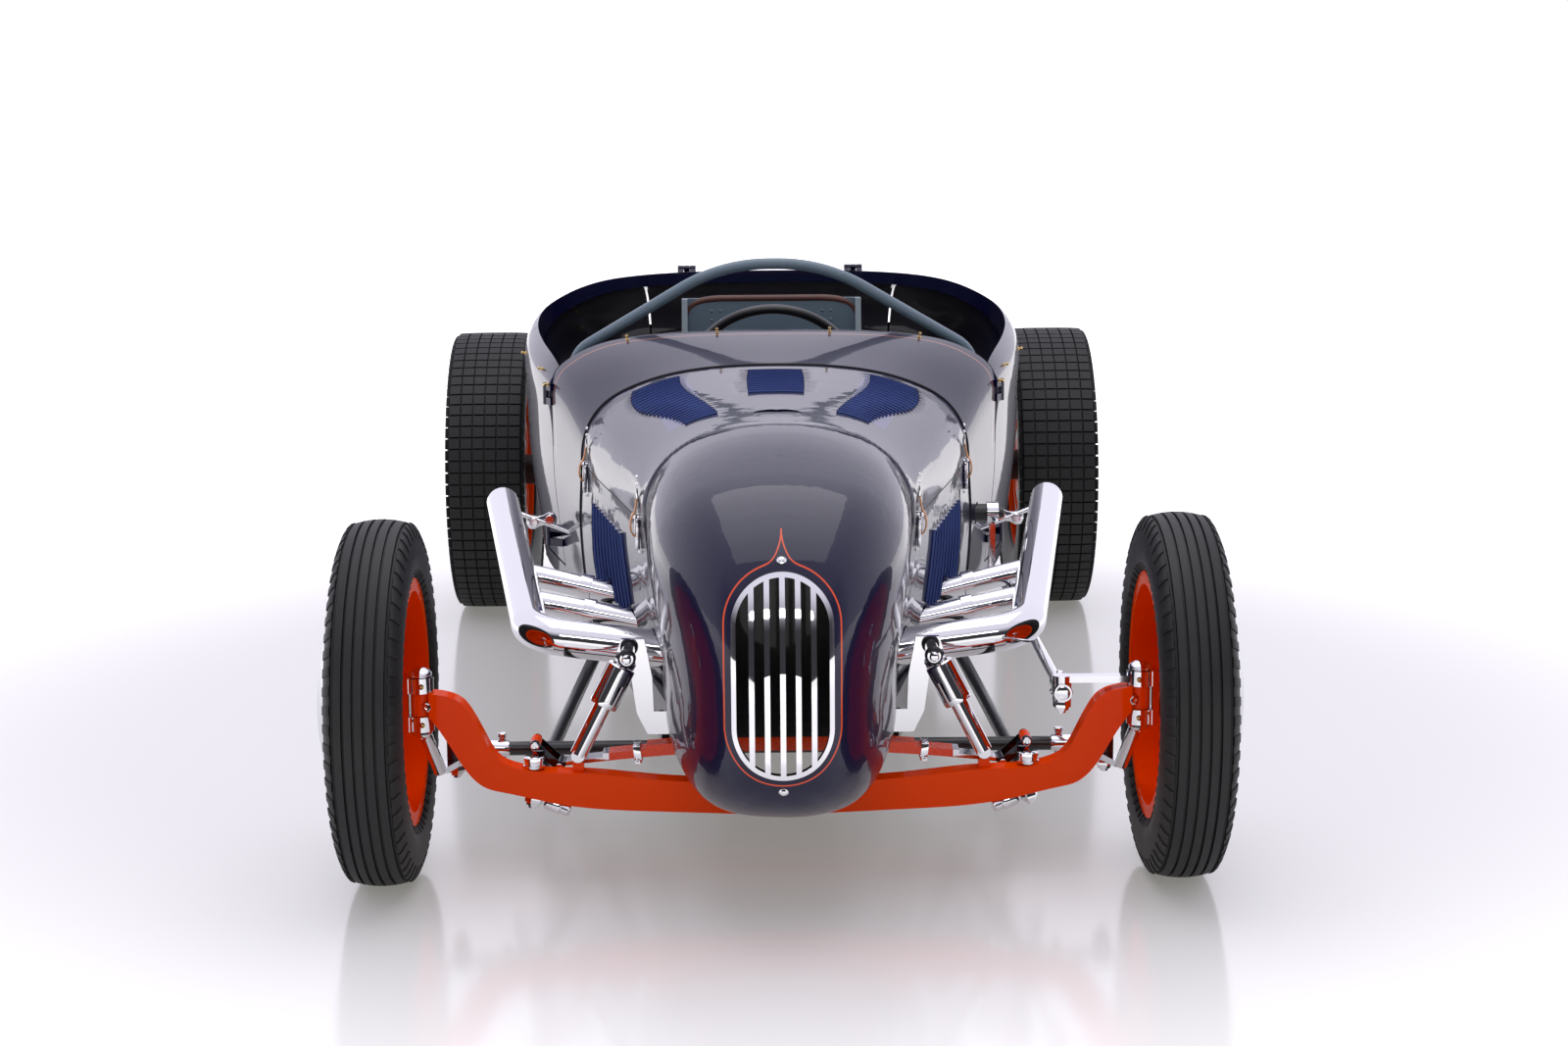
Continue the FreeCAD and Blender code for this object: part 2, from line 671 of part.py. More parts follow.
# Exhausts: three pipes a side run out through the hood side into a collector that sweeps back.
def sweep(points, bends, radius):
    """A round bar along straight runs joined by arcs, one bend radius for each corner."""
    edges = []
    start = points[0]
    for index in range(1, len(points) - 1):
        corner = points[index]
        back = (points[index - 1] - corner).normalize()
        ahead = (points[index + 1] - corner).normalize()
        half = back.getAngle(ahead) / 2
        bend = bends[index - 1]
        reach = bend / math.tan(half)
        first = corner + back * reach
        last = corner + ahead * reach
        bisector = (back + ahead).normalize()
        middle = corner + bisector * (bend / math.sin(half) - bend)
        edges.append(Part.makeLine(start, first))
        edges.append(Part.Arc(first, middle, last).toShape())
        start = last
    edges.append(Part.makeLine(start, points[-1]))
    path = Part.Wire(edges)
    heading = points[1] - points[0]
    ring = Part.Wire([Part.makeCircle(radius, points[0], heading)])
    return path.makePipeShell([ring], True, False)


port_places = [size("front_port_y") + index * size("port_spacing") for index in range(3)]
elbow = Vector(size("exhaust_elbow_x"), at(port_places[0]), size("exhaust_elbow_z"))
tip = Vector(size("exhaust_tip_x"), at(size("exhaust_end")), size("exhaust_tip_z"))
port_x = size("engine_half_width") + seam


def along_collector(y):
    share = (y - elbow.y) / (tip.y - elbow.y)
    return elbow + (tip - elbow) * share


collar_shares = (0.60, 0.66)
pipes = [sweep([Vector(port_x, elbow.y, size("port_z")), elbow, tip],
               [size("exhaust_bend")], size("collector_radius"))]
port = Vector(port_x, elbow.y, size("port_z"))
tunnels = [rod(port + (port - elbow) / 4, elbow, size("collector_radius") + size("panel_gap"))]
for place in port_places[1:]:
    start = Vector(port_x, at(place), size("port_z"))
    end = along_collector(at(place + size("collector_radius")))
    pipes.append(rod(start, end, size("primary_radius")))
    collar_from, collar_to = [start + (end - start) * share for share in collar_shares]
    collar_radius = size("primary_radius") + 2 * size("exhaust_wall")
    pipes.append(rod(collar_from, collar_to, collar_radius))
    tunnels.append(rod(start + (start - end) / 4, end, collar_radius + size("panel_gap")))
bore_end = along_collector(tip.y - 2 * size("collector_radius"))
bore = rod(bore_end, tip + (tip - bore_end), size("collector_radius") - size("exhaust_wall"))
hanger_y = tip.y - size("overrun")
hanger_at = along_collector(hanger_y)
hanger_foot = Vector(size("hood_rear_half_width"), hanger_y, hanger_at.z - 2 * size("collector_radius"))
hanger = rod(hanger_foot, hanger_at, size("kingpin_radius") / 2).cut(outer_body)
engine_room = box(Vector(-port_x, at(size("engine_front")), ground), Vector(port_x, at(size("engine_rear")), far_top))
exhaust = joined(pipes + [hanger]).cut(bore).cut(engine_room)
for (name, _), shape in zip(SIDES, both_sides(exhaust)):
    keep_shape("exhaust_" + name, shape)

side_panels = hood_shell.common(slab(hood_span[0], hood_span[1], shell_low, size("hood_split")))
side_panels = side_panels.multiFuse(side_louvres)
for tunnel in tunnels:
    for shape in both_sides(tunnel):
        side_panels = side_panels.cut(shape)
half_space = box(Vector(0, at(-size("nose_overhang")), ground),
                 Vector(size("rear_track"), at(size("wheelbase")), far_top))
for (name, _), space in zip(SIDES, both_sides(half_space)):
    keep_shape("hood_side_" + name, side_panels.common(space))

# Cowl: the full arch from the firewall to the cockpit, with the firewall's upper half.
cowl_inside = body_solid(size("cowl_wall"))
cowl_span = (size("cowl_front") + seam, size("cowl_rear") - seam)
cowl = outer_body.common(slab(cowl_span[0], cowl_span[1], shell_low, far_top))
firewall_rear = cowl_span[0] + size("cowl_wall")
firewall_low = size("gearbox_top") + size("tub_wall")
cowl = cowl.cut(cowl_inside.common(slab(firewall_rear, cowl_span[1] + size("overrun"), ground, far_top)))
cowl = cowl.cut(cowl_inside.common(slab(cowl_span[0] - size("overrun"), firewall_rear + size("overrun"),
                                        ground, firewall_low)))
cross_shaft_hole = rod(Vector(0, at(size("pitman_y")), size("pitman_shaft_z")),
                       Vector(size("cowl_half_width") + size("overrun"), at(size("pitman_y")), size("pitman_shaft_z")),
                       size("column_radius") + size("panel_gap"))
cowl = cowl.cut(cross_shaft_hole)



# Hinges: a pin in two outer barrels, and between them the bored barrel of what swings.
def hinge(centre, axis, fixed_root, moving_root):
    """The fixed and the moving half of one barrel hinge, with a leaf to each root."""
    pin = size("hinge_pin_radius")
    barrel = size("hinge_barrel_radius")
    half = axis * size("hinge_half_length")
    third = half / 3
    trim = axis * size("joint_gap")

    def leaf_to(root, low, high):
        across = (root - centre).cross(axis).normalize() * pin
        plate = prism([centre + across + low, root + across + low, root - across + low, centre - across + low],
                      high - low)
        return joined([rod(centre + low, centre + high, barrel), plate])

    fixed = joined([leaf_to(fixed_root, -half, -third), leaf_to(fixed_root, third, half),
                    rod(centre - half, centre + half, pin)])
    bored = rod(centre - half, centre + half, pin + size("running_gap"))
    moving = leaf_to(moving_root, trim - third, third - trim).cut(bored)
    return fixed, moving


def skin_reach(start, heading):
    """Where a line from inside the body leaves its outer skin."""
    inside = outer_body.common(Part.makeLine(start, start + heading * size("rear_track")))
    far = inside.BoundBox
    return Vector(far.XMax, far.YMax, far.ZMax)


# Tub: the cockpit and the rounded deck behind it, cut open for doors, lid, cockpit and axle.
tub_shell = outer_body.cut(body_solid(size("tub_wall")))
tub = tub_shell.common(slab(size("cowl_rear"), size("wheelbase") + size("tail_overhang"), shell_low, far_top))
curve_points = []
reach = size("cockpit_rear") - size("cowl_rear")
inner_width = size("tub_half_width") - size("tub_wall")
for along, width in opening_shares:
    curve_points.append(Vector(width * inner_width, at(size("cowl_rear") + along * reach), size("seat_floor") + size("tub_wall")))
curve_points += [Vector(-p.x, p.y, p.z) for p in curve_points[-2::-1]]
rim = Part.BSplineCurve()
rim.interpolate(curve_points)
rim_wire = Part.Wire([rim.toShape(), Part.makeLine(curve_points[-1], curve_points[0])])
cockpit = Part.Face(rim_wire).extrude(Vector(0, 0, far_top))
tub = tub.cut(cockpit)
door_room = box(Vector(size("cowl_half_width") * 0.8, at(size("cowl_rear") - size("overrun")), size("door_bottom") - size("panel_gap")),
                Vector(size("rear_track"), at(size("door_rear") + size("panel_gap")), far_top))
door_space = box(Vector(size("cowl_half_width") * 0.8, at(size("cowl_rear") + size("panel_gap")), size("door_bottom")),
                 Vector(size("rear_track"), at(size("door_rear")), far_top))
door_panel = tub.common(door_space)
hinge_y = at(size("cowl_rear") + size("panel_gap") / 2)
hinge_x = size("cowl_half_width") + size("hinge_barrel_radius") + size("hinge_gap")
cowl_side = size("cowl_top") - size("body_bottom")
for share in hinge_height_shares:
    z = size("body_bottom") + cowl_side * share
    skin = skin_reach(Vector(0, hinge_y, z), Vector(1, 0, 0)).x
    root_y = Vector(0, 2 * size("cowl_wall"), 0)
    root = Vector(skin - size("cowl_wall") / 2, hinge_y, z)
    fixed, moving = hinge(Vector(hinge_x, hinge_y, z), Vector(0, 0, 1), root - root_y, root + root_y)
    cowl = joined([cowl] + both_sides(fixed))
    door_panel = joined([door_panel, moving])
keep_shape("cowl", cowl)
for (name, _), shape, room in zip(SIDES, both_sides(door_panel), both_sides(door_room)):
    keep_shape("door_" + name, shape)
    tub = tub.cut(room)
lid_gap = size("panel_gap")
lid_room = box(Vector(-size("deck_lid_half_width") - lid_gap, at(size("deck_lid_front") - lid_gap), size("seat_floor") + size("tub_wall")),
               Vector(size("deck_lid_half_width") + lid_gap, at(size("deck_lid_rear") + lid_gap), far_top))
lid_space = box(Vector(-size("deck_lid_half_width"), at(size("deck_lid_front")), size("seat_floor") + size("tub_wall")),
                Vector(size("deck_lid_half_width"), at(size("deck_lid_rear")), far_top))
deck_lid = tub.common(lid_space)
notch = rod(Vector(-size("rear_track"), size("rear_axle_y"), size("rear_tyre_radius")),
            Vector(size("rear_track"), size("rear_axle_y"), size("rear_tyre_radius")), size("axle_notch_radius"))
tub = tub.cut(lid_room).cut(notch)
hinge_y = at(size("deck_lid_front") - lid_gap / 2)
lid_hinge_x = size("deck_lid_half_width") * 2 / 3
skin = skin_reach(Vector(lid_hinge_x, hinge_y, size("seat_floor")), Vector(0, 0, 1)).z
lid_hinge_z = skin + size("hinge_barrel_radius") + size("hinge_gap")
root_y = Vector(0, 2 * size("cowl_wall"), 0)
root = Vector(lid_hinge_x, hinge_y, skin - size("tub_wall") / 2)
fixed, moving = hinge(Vector(lid_hinge_x, hinge_y, lid_hinge_z), Vector(1, 0, 0), root - root_y, root + root_y)
keep_shape("body_tub", joined([tub] + both_sides(fixed)))
keep_shape("deck_lid", joined([deck_lid] + both_sides(moving)))

# Frame: two box rails that spread from the nose to the cockpit and kick up over the axle.
rail_half = size("rail_width") / 2
rear_spacing = size("rail_rear_half_spacing")
front_spacing = size("rail_front_half_spacing")

front_rail = prism([
    Vector(front_spacing - rail_half, at(size("rail_front")), size("rail_bottom")),
    Vector(front_spacing + rail_half, at(size("rail_front")), size("rail_bottom")),
    Vector(rear_spacing + rail_half, at(size("cowl_front")), size("rail_bottom")),
    Vector(rear_spacing - rail_half, at(size("cowl_front")), size("rail_bottom")),
], Vector(0, 0, size("rail_height")))
side_line = [(size("cowl_front"), 0), (size("rail_kick_start"), 0),
             (size("rail_kick_end"), size("rail_kick_height")), (size("rail_rear"), size("rail_kick_height"))]
lower = [Vector(rear_spacing - rail_half, at(y), size("rail_bottom") + rise) for y, rise in side_line]
upper = [p + Vector(0, 0, size("rail_height")) for p in reversed(lower)]
rear_rail = prism(lower + upper, Vector(size("rail_width"), 0, 0))
crossmembers = []
low_tubes = (size("engine_front") + size("panel_gap") + size("crossmember_radius"),
             size("engine_rear") - size("crossmember_radius"), size("gearbox_rear") - size("crossmember_radius"))
for y in low_tubes:
    share = min(1, (y - size("rail_front")) / (size("cowl_front") - size("rail_front")))
    reach = front_spacing + (rear_spacing - front_spacing) * share
    z = size("rail_bottom") + size("crossmember_radius")
    crossmembers.append(rod(Vector(-reach, at(y), z), Vector(reach, at(y), z), size("crossmember_radius")))
front_beam = box(Vector(-front_spacing, at(size("rail_front")), size("rail_top") - size("rail_height") / 2),
                 Vector(front_spacing, at(size("rail_front") + size("radiator_thickness")), size("rail_top")))
front_step = slab(0, size("engine_front"), ground, size("rail_top") - size("rail_height") / 2)
rear_beam_y = size("wheelbase") + size("rear_spring_back")
beam_low = size("rail_bottom") + size("rail_kick_height")
rear_beam = box(Vector(-rear_spacing, at(rear_beam_y) - rail_half, beam_low),
                Vector(rear_spacing, at(rear_beam_y) + rail_half, beam_low + size("rail_height")))
front_rail = front_rail.cut(front_step)
keep_shape("frame", joined(both_sides(front_rail) + both_sides(rear_rail) + crossmembers
                           + [front_beam, rear_beam]))


def bind(text):
    """Sheet names in a sum, written for the expression engine."""
    return re.sub("[a-z_]+", lambda found: "sizes." + found.group(), text)


def block(label, x, y, z):
    """A plain block between sheet values along each axis."""
    made = doc.addObject("Part::Box", label)
    made.Label = label
    for axis, length, (low, high) in zip("xyz", ("Length", "Width", "Height"), (x, y, z)):
        made.setExpression(length, bind("(%s) - (%s)" % (high, low)))
        made.setExpression("Placement.Base." + axis, bind(low))
    return made


# Radiator, engine and gearbox: plain blocks at their real places.
block("radiator", ("-radiator_half_width", "radiator_half_width"),
      ("front_axle_y + radiator_front", "front_axle_y + radiator_front + radiator_thickness"),
      ("rail_top + seat_gap", "radiator_top"))
block("engine", ("-engine_half_width", "engine_half_width"),
      ("front_axle_y + engine_front", "front_axle_y + engine_rear"),
      ("engine_bottom", "engine_top"))
block("gearbox", ("-gearbox_half_width", "gearbox_half_width"),
      ("front_axle_y + engine_rear + seat_gap", "front_axle_y + gearbox_rear"),
      ("engine_bottom", "gearbox_top"))

# Floor: a flat pan on the rails with a raised tunnel, a bulkhead and a deck floor behind it.
sheet_thickness = size("floor_top") - size("floor_bottom")
pan_line = [(size("cowl_front") + size("cowl_wall"), size("hood_rear_half_width") * 0.94),
            (size("cowl_rear"), size("cowl_half_width") * 0.92),
            ((size("cowl_rear") + size("rail_kick_start")) / 2, size("tub_half_width") * 0.9),
            (size("rail_kick_start"), size("tub_half_width") * 0.92)]
right = [Vector(width, at(y), size("floor_bottom")) for y, width in pan_line]
left = [Vector(-p.x, p.y, p.z) for p in reversed(right)]
pan = prism(right + left, Vector(0, 0, sheet_thickness))
tunnel_parts = (
    (size("cowl_front") + size("cowl_wall"), size("gearbox_rear") + size("tunnel_clearance"),
     size("tunnel_half_width"), size("tunnel_top")),
    (size("gearbox_rear") + size("tunnel_clearance"), size("rail_kick_start") + size("overrun"),
     size("torque_tube_radius") + size("tunnel_clearance"), size("rear_tunnel_top")),
)
hats = []
hollows = []
for front, rear, half, top in tunnel_parts:
    hats.append(box(Vector(-half - sheet_thickness, at(front), size("floor_bottom")), Vector(half + sheet_thickness, at(rear), top)))
    hollows.append(box(Vector(-half, at(front - size("overrun")), ground),
                       Vector(half, at(rear), top - sheet_thickness)))
deck_low = beam_low + size("rail_height") + seam
bulkhead = box(Vector(-size("tub_half_width"), at(size("rail_kick_start")) - sheet_thickness, size("floor_bottom")),
               Vector(size("tub_half_width"), at(size("rail_kick_start")), deck_low + sheet_thickness))
deck = box(Vector(-size("tub_half_width"), at(size("rail_kick_start")) - sheet_thickness, deck_low),
           Vector(size("tub_half_width"), at(size("rail_rear")), deck_low + sheet_thickness))
behind_seat = joined([bulkhead, deck]).common(body_solid(size("tub_wall") + seam))
rail_room = box(Vector(rear_spacing - rail_half - seam, at(size("cowl_front")), size("rail_bottom")),
                Vector(rear_spacing + rail_half + seam, at(size("rail_kick_end")), size("rail_top") + seam))
floor = joined([pan, behind_seat] + hats)
tube_z = size("rear_tyre_radius") - size("seat_wall")
tube_room = rod(Vector(0, at(size("cowl_rear")), tube_z), Vector(0, at(size("wheelbase")), tube_z),
                size("torque_tube_radius") + size("panel_gap"))
for room in hollows + both_sides(rail_room) + [tube_room]:
    floor = floor.cut(room)
keep_shape("floor", floor)

# Dash: a flat panel that fills the cowl's rear arch.
dash_y = size("cowl_rear") - size("seat_wall") - size("tub_wall")
dash = body_solid(size("cowl_wall") + seam).common(
    slab(dash_y, dash_y + size("hood_wall"), size("pitman_shaft_z") + size("steering_wheel_radius"), far_top))
keep_shape("dash", dash)

# Front axle: a dropped beam, its outline in shares of the kingpin spacing and of its height.
axle_bottom_shares = ((0, 0), (0.33, 0.03), (0.62, 0.10), (0.775, 0.20), (0.82, 0.235), (0.862, 0.33),
                      (0.904, 0.51), (0.943, 0.69), (0.975, 0.815))
axle_top_shares = ((0.975, 1.0), (0.932, 0.985), (0.887, 0.93), (0.857, 0.82), (0.831, 0.68), (0.806, 0.54),
                   (0.78, 0.45), (0.752, 0.41), (0.567, 0.35), (0.33, 0.285), (0, 0.264))
axle_height = size("axle_end_top") - size("axle_bottom")
kingpin_x = size("kingpin_half_spacing")
axle_front = at(-size("axle_thickness") / 2)
axle_back = at(size("axle_thickness") / 2)


def axle_edge(shares):
    """One edge of the beam, from side to side."""
    half = [Vector(x * kingpin_x, axle_front, size("axle_bottom") + z * axle_height) for x, z in shares]
    half.sort(key=lambda p: (p.x, p.z))
    whole = [Vector(-p.x, p.y, p.z) for p in half[:0:-1]] + half
    curve = Part.BSplineCurve()
    curve.interpolate(whole)
    return curve.toShape(), whole


low_edge, low_points = axle_edge(axle_bottom_shares)
high_edge, high_points = axle_edge(axle_top_shares)
beam_face = Part.Face(Part.Wire([
    low_edge,
    Part.makeLine(low_points[-1], high_points[-1]),
    high_edge,
    Part.makeLine(high_points[0], low_points[0]),
]))
beam = beam_face.extrude(Vector(0, size("axle_thickness"), 0))
perch_x = size("perch_half_spacing")
leaf_y = at(size("front_leaf_y"))
leaf_half = size("leaf_width") / 2
ear_room = rod(Vector(kingpin_x, at(0), ground), Vector(kingpin_x, at(0), size("axle_end_bottom")),
               size("knuckle_radius") + 2 * size("joint_gap"))
for room in both_sides(ear_room):
    beam = beam.cut(room)
axle_parts = [beam]
fittings = [
    rod(Vector(kingpin_x, at(0), size("axle_end_bottom")), Vector(kingpin_x, at(0), size("axle_end_top")),
        size("axle_end_radius")),
    rod(Vector(kingpin_x, at(0), size("knuckle_bottom") - size("kingpin_proud")),
        Vector(kingpin_x, at(0), size("knuckle_top") + size("kingpin_proud")), size("kingpin_radius")),
    box(Vector(perch_x - size("leaf_eye_radius"), axle_back, size("front_leaf_end_z") - size("leaf_eye_radius")),
        Vector(perch_x + size("leaf_eye_radius"), leaf_y + leaf_half / 2, size("front_leaf_end_z"))),
    box(Vector(perch_x - size("leaf_eye_radius") / 2, leaf_y - leaf_half / 2, size("front_leaf_end_z") - size("leaf_eye_radius")),
        Vector(perch_x + size("leaf_eye_radius") / 2, leaf_y + leaf_half / 2, size("perch_z"))),
    rod(Vector(perch_x, leaf_y - leaf_half, size("perch_z")), Vector(perch_x, leaf_y + leaf_half, size("perch_z")),
        size("leaf_eye_radius")),
    box(Vector(size("shock_foot_x") - size("leaf_eye_radius"), at(-size("leaf_eye_radius")),
               size("axle_bottom") + axle_height * 0.3),
        Vector(size("shock_foot_x") + size("leaf_eye_radius"), at(size("leaf_eye_radius")),
               size("shock_foot_z") - size("shock_eye_radius") - seam)),
]
for fitting in fittings:
    axle_parts += both_sides(fitting)
keep_shape("front_axle", joined(axle_parts))


# Springs: a main leaf with eyes, and shorter leaves stacked on it, each an arc.
def leaf(y, half_span, end_z, centre_z, level):
    thickness = size("leaf_thickness")
    rise = centre_z - end_z
    radius = (half_span ** 2 + rise ** 2) / (2 * rise)
    middle = Vector(0, y - leaf_half, centre_z - radius)
    low = radius + level * thickness
    high = low + thickness
    half_angle = math.asin(half_span / radius) * (1 - level / (size("leaf_count") + 1))

    def place(distance, angle):
        return middle + Vector(distance * math.sin(angle), 0, distance * math.cos(angle))

    bottom_arc = Part.Arc(place(low, -half_angle), place(low, 0), place(low, half_angle)).toShape()
    top_arc = Part.Arc(place(high, half_angle), place(high, 0), place(high, -half_angle)).toShape()
    outline = Part.Wire([bottom_arc, Part.makeLine(place(low, half_angle), place(high, half_angle)), top_arc,
                         Part.makeLine(place(high, -half_angle), place(low, -half_angle))])
    return Part.Face(outline).extrude(Vector(0, size("leaf_width"), 0))


def leaf_spring(y, half_span, end_z, centre_z, perch_at, perch_height):
    """The stack of leaves with its shackles out to the perches."""
    pieces = [leaf(y, half_span, end_z, centre_z, level) for level in range(int(size("leaf_count")))]
    for side in (1, -1):
        eye = Vector(side * half_span, y, end_z)
        pin = Vector(side * perch_at, y, perch_height)
        along = Vector(0, leaf_half, 0)
        pieces.append(rod(eye - along, eye + along, size("leaf_eye_radius")))
        for edge in (-1, 1):
            inner = along * edge * (1 + seam / leaf_half)
            outer = along * edge * (1 + size("hood_wall") / leaf_half)
            for end in (eye, pin):
                pieces.append(rod(end + inner, end + outer, size("leaf_eye_radius")))
            pieces.append(rod(eye + inner, eye, size("leaf_eye_radius") / 2))
            plate = prism([
                eye + inner + Vector(0, 0, size("leaf_eye_radius")),
                eye + inner - Vector(0, 0, size("leaf_eye_radius")),
                pin + inner - Vector(0, 0, size("leaf_eye_radius")),
                pin + inner + Vector(0, 0, size("leaf_eye_radius")),
            ], outer - inner)
            pieces.append(plate)
    return joined(pieces)


front_leaf_centre = size("rail_top") - size("rail_height") / 2 - size("leaf_count") * size("leaf_thickness") - seam
keep_shape("front_spring", leaf_spring(leaf_y, size("front_leaf_half_span"), size("front_leaf_end_z"),
                                       front_leaf_centre, perch_x, size("perch_z")))

# Radius rods from the axle back to the frame rails.
rod_front = Vector(perch_x, axle_back + seam, size("radius_rod_front_z"))
rod_rear = Vector(rear_spacing + rail_half + size("radius_rod_radius") + size("hood_wall"), at(size("cowl_front")),
                  size("rail_bottom") + size("rail_height") / 3)
radius_rod = joined([
    rod(rod_front, rod_front + Vector(0, size("tub_wall"), 0), size("radius_rod_radius") * 1.3),
    rod(rod_front + Vector(0, size("seat_wall"), 0), rod_rear, size("radius_rod_radius")),
    rod(Vector(rear_spacing + rail_half + seam, rod_rear.y, rod_rear.z),
        rod_rear + Vector(size("radius_rod_radius"), 0, 0), size("radius_rod_radius") * 1.3),
])
keep_shape("radius_rods", Part.makeCompound(both_sides(radius_rod)))

# Shocks, and the plates that carry their upper ends and the nose.
foot = Vector(size("shock_foot_x"), at(0), size("shock_foot_z"))
head = Vector(size("shock_head_x"), at(size("shock_head_y")), size("shock_head_z"))
middle = foot + (head - foot) / 2
eye_half = Vector(0, size("shock_eye_radius"), 0)
bracket_y = head.y + size("shock_radius") + size("bracket_offset")
shock = joined([
    rod(foot - eye_half, foot + eye_half, size("shock_eye_radius")),
    rod(foot, middle, size("shock_radius") * 0.75),
    rod(middle, head - (head - foot) * 0.1, size("shock_radius")),
    rod(foot, head, size("shock_radius") / 2),
    rod(head - eye_half, Vector(head.x, bracket_y - seam, head.z), size("shock_eye_radius")),
])
keep_shape("shocks", Part.makeCompound(both_sides(shock)))
bracket_shares = ((0, 0), (0, 0.24), (0.28, 0.24), (0.30, 0.60), (0.44, 1.0), (0.88, 1.0), (1.0, 0.80),
                  (0.70, 0.62), (0.60, 0.22), (0.40, 0))
bracket_x = front_spacing + rail_half + seam + size("bracket_offset")
bracket_width = size("shock_head_x") + size("shock_eye_radius") * 2 - bracket_x
bracket_low = size("rail_top") - size("rail_height") / 2
bracket_height = size("shock_head_z") + size("shock_eye_radius") * 2 - bracket_low
bracket = prism([Vector(bracket_x + x * bracket_width, bracket_y, bracket_low + z * bracket_height)
                 for x, z in bracket_shares], Vector(0, size("arm_thickness"), 0))
keep_shape("nose_brackets", Part.makeCompound(both_sides(bracket)))

# Steering knuckles: a yoke on each kingpin, its spindle, and the arms forged with it.
arm_half = size("arm_thickness") / 2
web_inside = kingpin_x + size("axle_end_radius") + size("spindle_end_gap") / 2
web_outside = size("knuckle_web_outside")
gap = size("joint_gap")
track_x = size("front_track") / 2
wheel_z = size("front_tyre_radius")
ears = ((size("knuckle_bottom"), size("axle_end_bottom") - gap), (size("axle_end_top") + gap, size("knuckle_top")))
yoke = [box(Vector(web_inside, at(-size("knuckle_radius")), size("knuckle_bottom")),
            Vector(web_outside, at(size("knuckle_radius")), size("knuckle_top")))]
for low, high in ears:
    yoke.append(rod(Vector(kingpin_x, at(0), low), Vector(kingpin_x, at(0), high), size("knuckle_radius")))
    yoke.append(box(Vector(kingpin_x, at(-size("knuckle_radius") * 0.8), low),
                    Vector(web_outside, at(size("knuckle_radius") * 0.8), high)))
spindle_end = track_x + size("hub_outboard") + size("spindle_end_gap")
yoke.append(rod(Vector(web_inside, at(0), wheel_z), Vector(spindle_end + size("arm_thickness"), at(0), wheel_z),
                size("spindle_radius")))
yoke.append(rod(Vector(spindle_end, at(0), wheel_z), Vector(spindle_end + size("arm_thickness"), at(0), wheel_z),
                size("knuckle_radius")))
tie_end = Vector(kingpin_x - size("tie_arm_inset"), at(size("tie_arm_back")), size("tie_arm_z"))
arm_root = Vector(kingpin_x, at(arm_half), size("knuckle_bottom") + arm_half)
arm_turn = Vector((kingpin_x + tie_end.x) / 2, (arm_root.y + tie_end.y) / 2, tie_end.z)
yoke.append(rod(arm_root, arm_turn, size("arm_thickness")))
flat = Vector(size("arm_thickness"), 0, -arm_half)
flat_other = Vector(-size("arm_thickness"), 0, -arm_half)
yoke.append(prism([arm_turn + flat, tie_end + flat, tie_end + flat_other, arm_turn + flat_other],
                  Vector(0, 0, size("arm_thickness"))))
yoke.append(rod(tie_end - Vector(0, 0, 3 * arm_half), tie_end, size("rod_end_radius") * 0.7))
yoke.append(rod(tie_end - Vector(0, 0, arm_half), tie_end + Vector(0, 0, arm_half), size("rod_end_radius")))
pin_hole = rod(Vector(kingpin_x, at(0), ground), Vector(kingpin_x, at(0), far_top),
               size("kingpin_radius") + size("running_gap"))
knuckle = joined(yoke).cut(pin_hole)
keep_shape("knuckle_right", both_sides(knuckle)[1])
arm_end = Vector(kingpin_x - size("steering_arm_length"), at(0), size("steering_arm_z"))
arm_width = Vector(0, size("arm_thickness"), 0)
arm = joined([
    box(arm_end - arm_width, Vector(kingpin_x, at(size("arm_thickness")), size("steering_arm_z") + size("arm_thickness"))),
    rod(arm_end, arm_end + Vector(0, 0, size("arm_thickness")), size("rod_end_radius")),
])
keep_shape("knuckle_left", joined([knuckle, arm]).cut(pin_hole))

# Tie rod between the two lower arms, its ends standing on them.
tie_z = size("tie_arm_z") + arm_half + gap + size("rod_end_radius")
tie_half = kingpin_x - size("tie_arm_inset")
tie_y = at(size("tie_arm_back"))
tie = [rod(Vector(-tie_half, tie_y, tie_z), Vector(tie_half, tie_y, tie_z), size("tie_rod_radius"))]
for x in (-tie_half, tie_half):
    reach = Vector(0, 0, size("rod_end_radius"))
    tie.append(rod(Vector(x, tie_y, tie_z) - reach, Vector(x, tie_y, tie_z) + reach, size("rod_end_radius")))
keep_shape("tie_rod", joined(tie))

# Pitman arm on its cross shaft outside the cowl, and the drag link to the left knuckle.
shaft_y = at(size("pitman_y"))
shaft_z = size("pitman_shaft_z")
arm_length = size("steering_arm_length")
pitman_in = size("pitman_x")
pitman_out = pitman_in + size("arm_thickness")
pitman = joined([
    rod(Vector(pitman_in - arm_half, shaft_y, shaft_z), Vector(pitman_out + arm_half, shaft_y, shaft_z),
        2 * size("pitman_shaft_radius")),
    box(Vector(pitman_in, shaft_y - arm_half * 1.5, shaft_z - arm_length),
        Vector(pitman_out, shaft_y + arm_half * 1.5, shaft_z)),
    rod(Vector(pitman_in, shaft_y, shaft_z - arm_length), Vector(pitman_out, shaft_y, shaft_z - arm_length),
        size("rod_end_radius")),
]).cut(rod(Vector(0, shaft_y, shaft_z), Vector(size("rear_track"), shaft_y, shaft_z),
           size("pitman_shaft_radius") + size("running_gap")))
keep_shape("pitman_arm", pitman)
link_front = arm_end - Vector(0, 0, gap + size("rod_end_radius"))
link_rear = Vector(pitman_out + gap + size("arm_thickness"), shaft_y, shaft_z - arm_length)
drop = Vector(0, 0, size("rod_end_radius"))
across = Vector(size("arm_thickness"), 0, 0)
keep_shape("drag_link", joined([
    rod(link_front, link_rear, size("drag_link_radius")),
    rod(link_front - drop, link_front + drop, size("rod_end_radius")),
    rod(link_rear - across, link_rear + across, size("rod_end_radius")),
]))

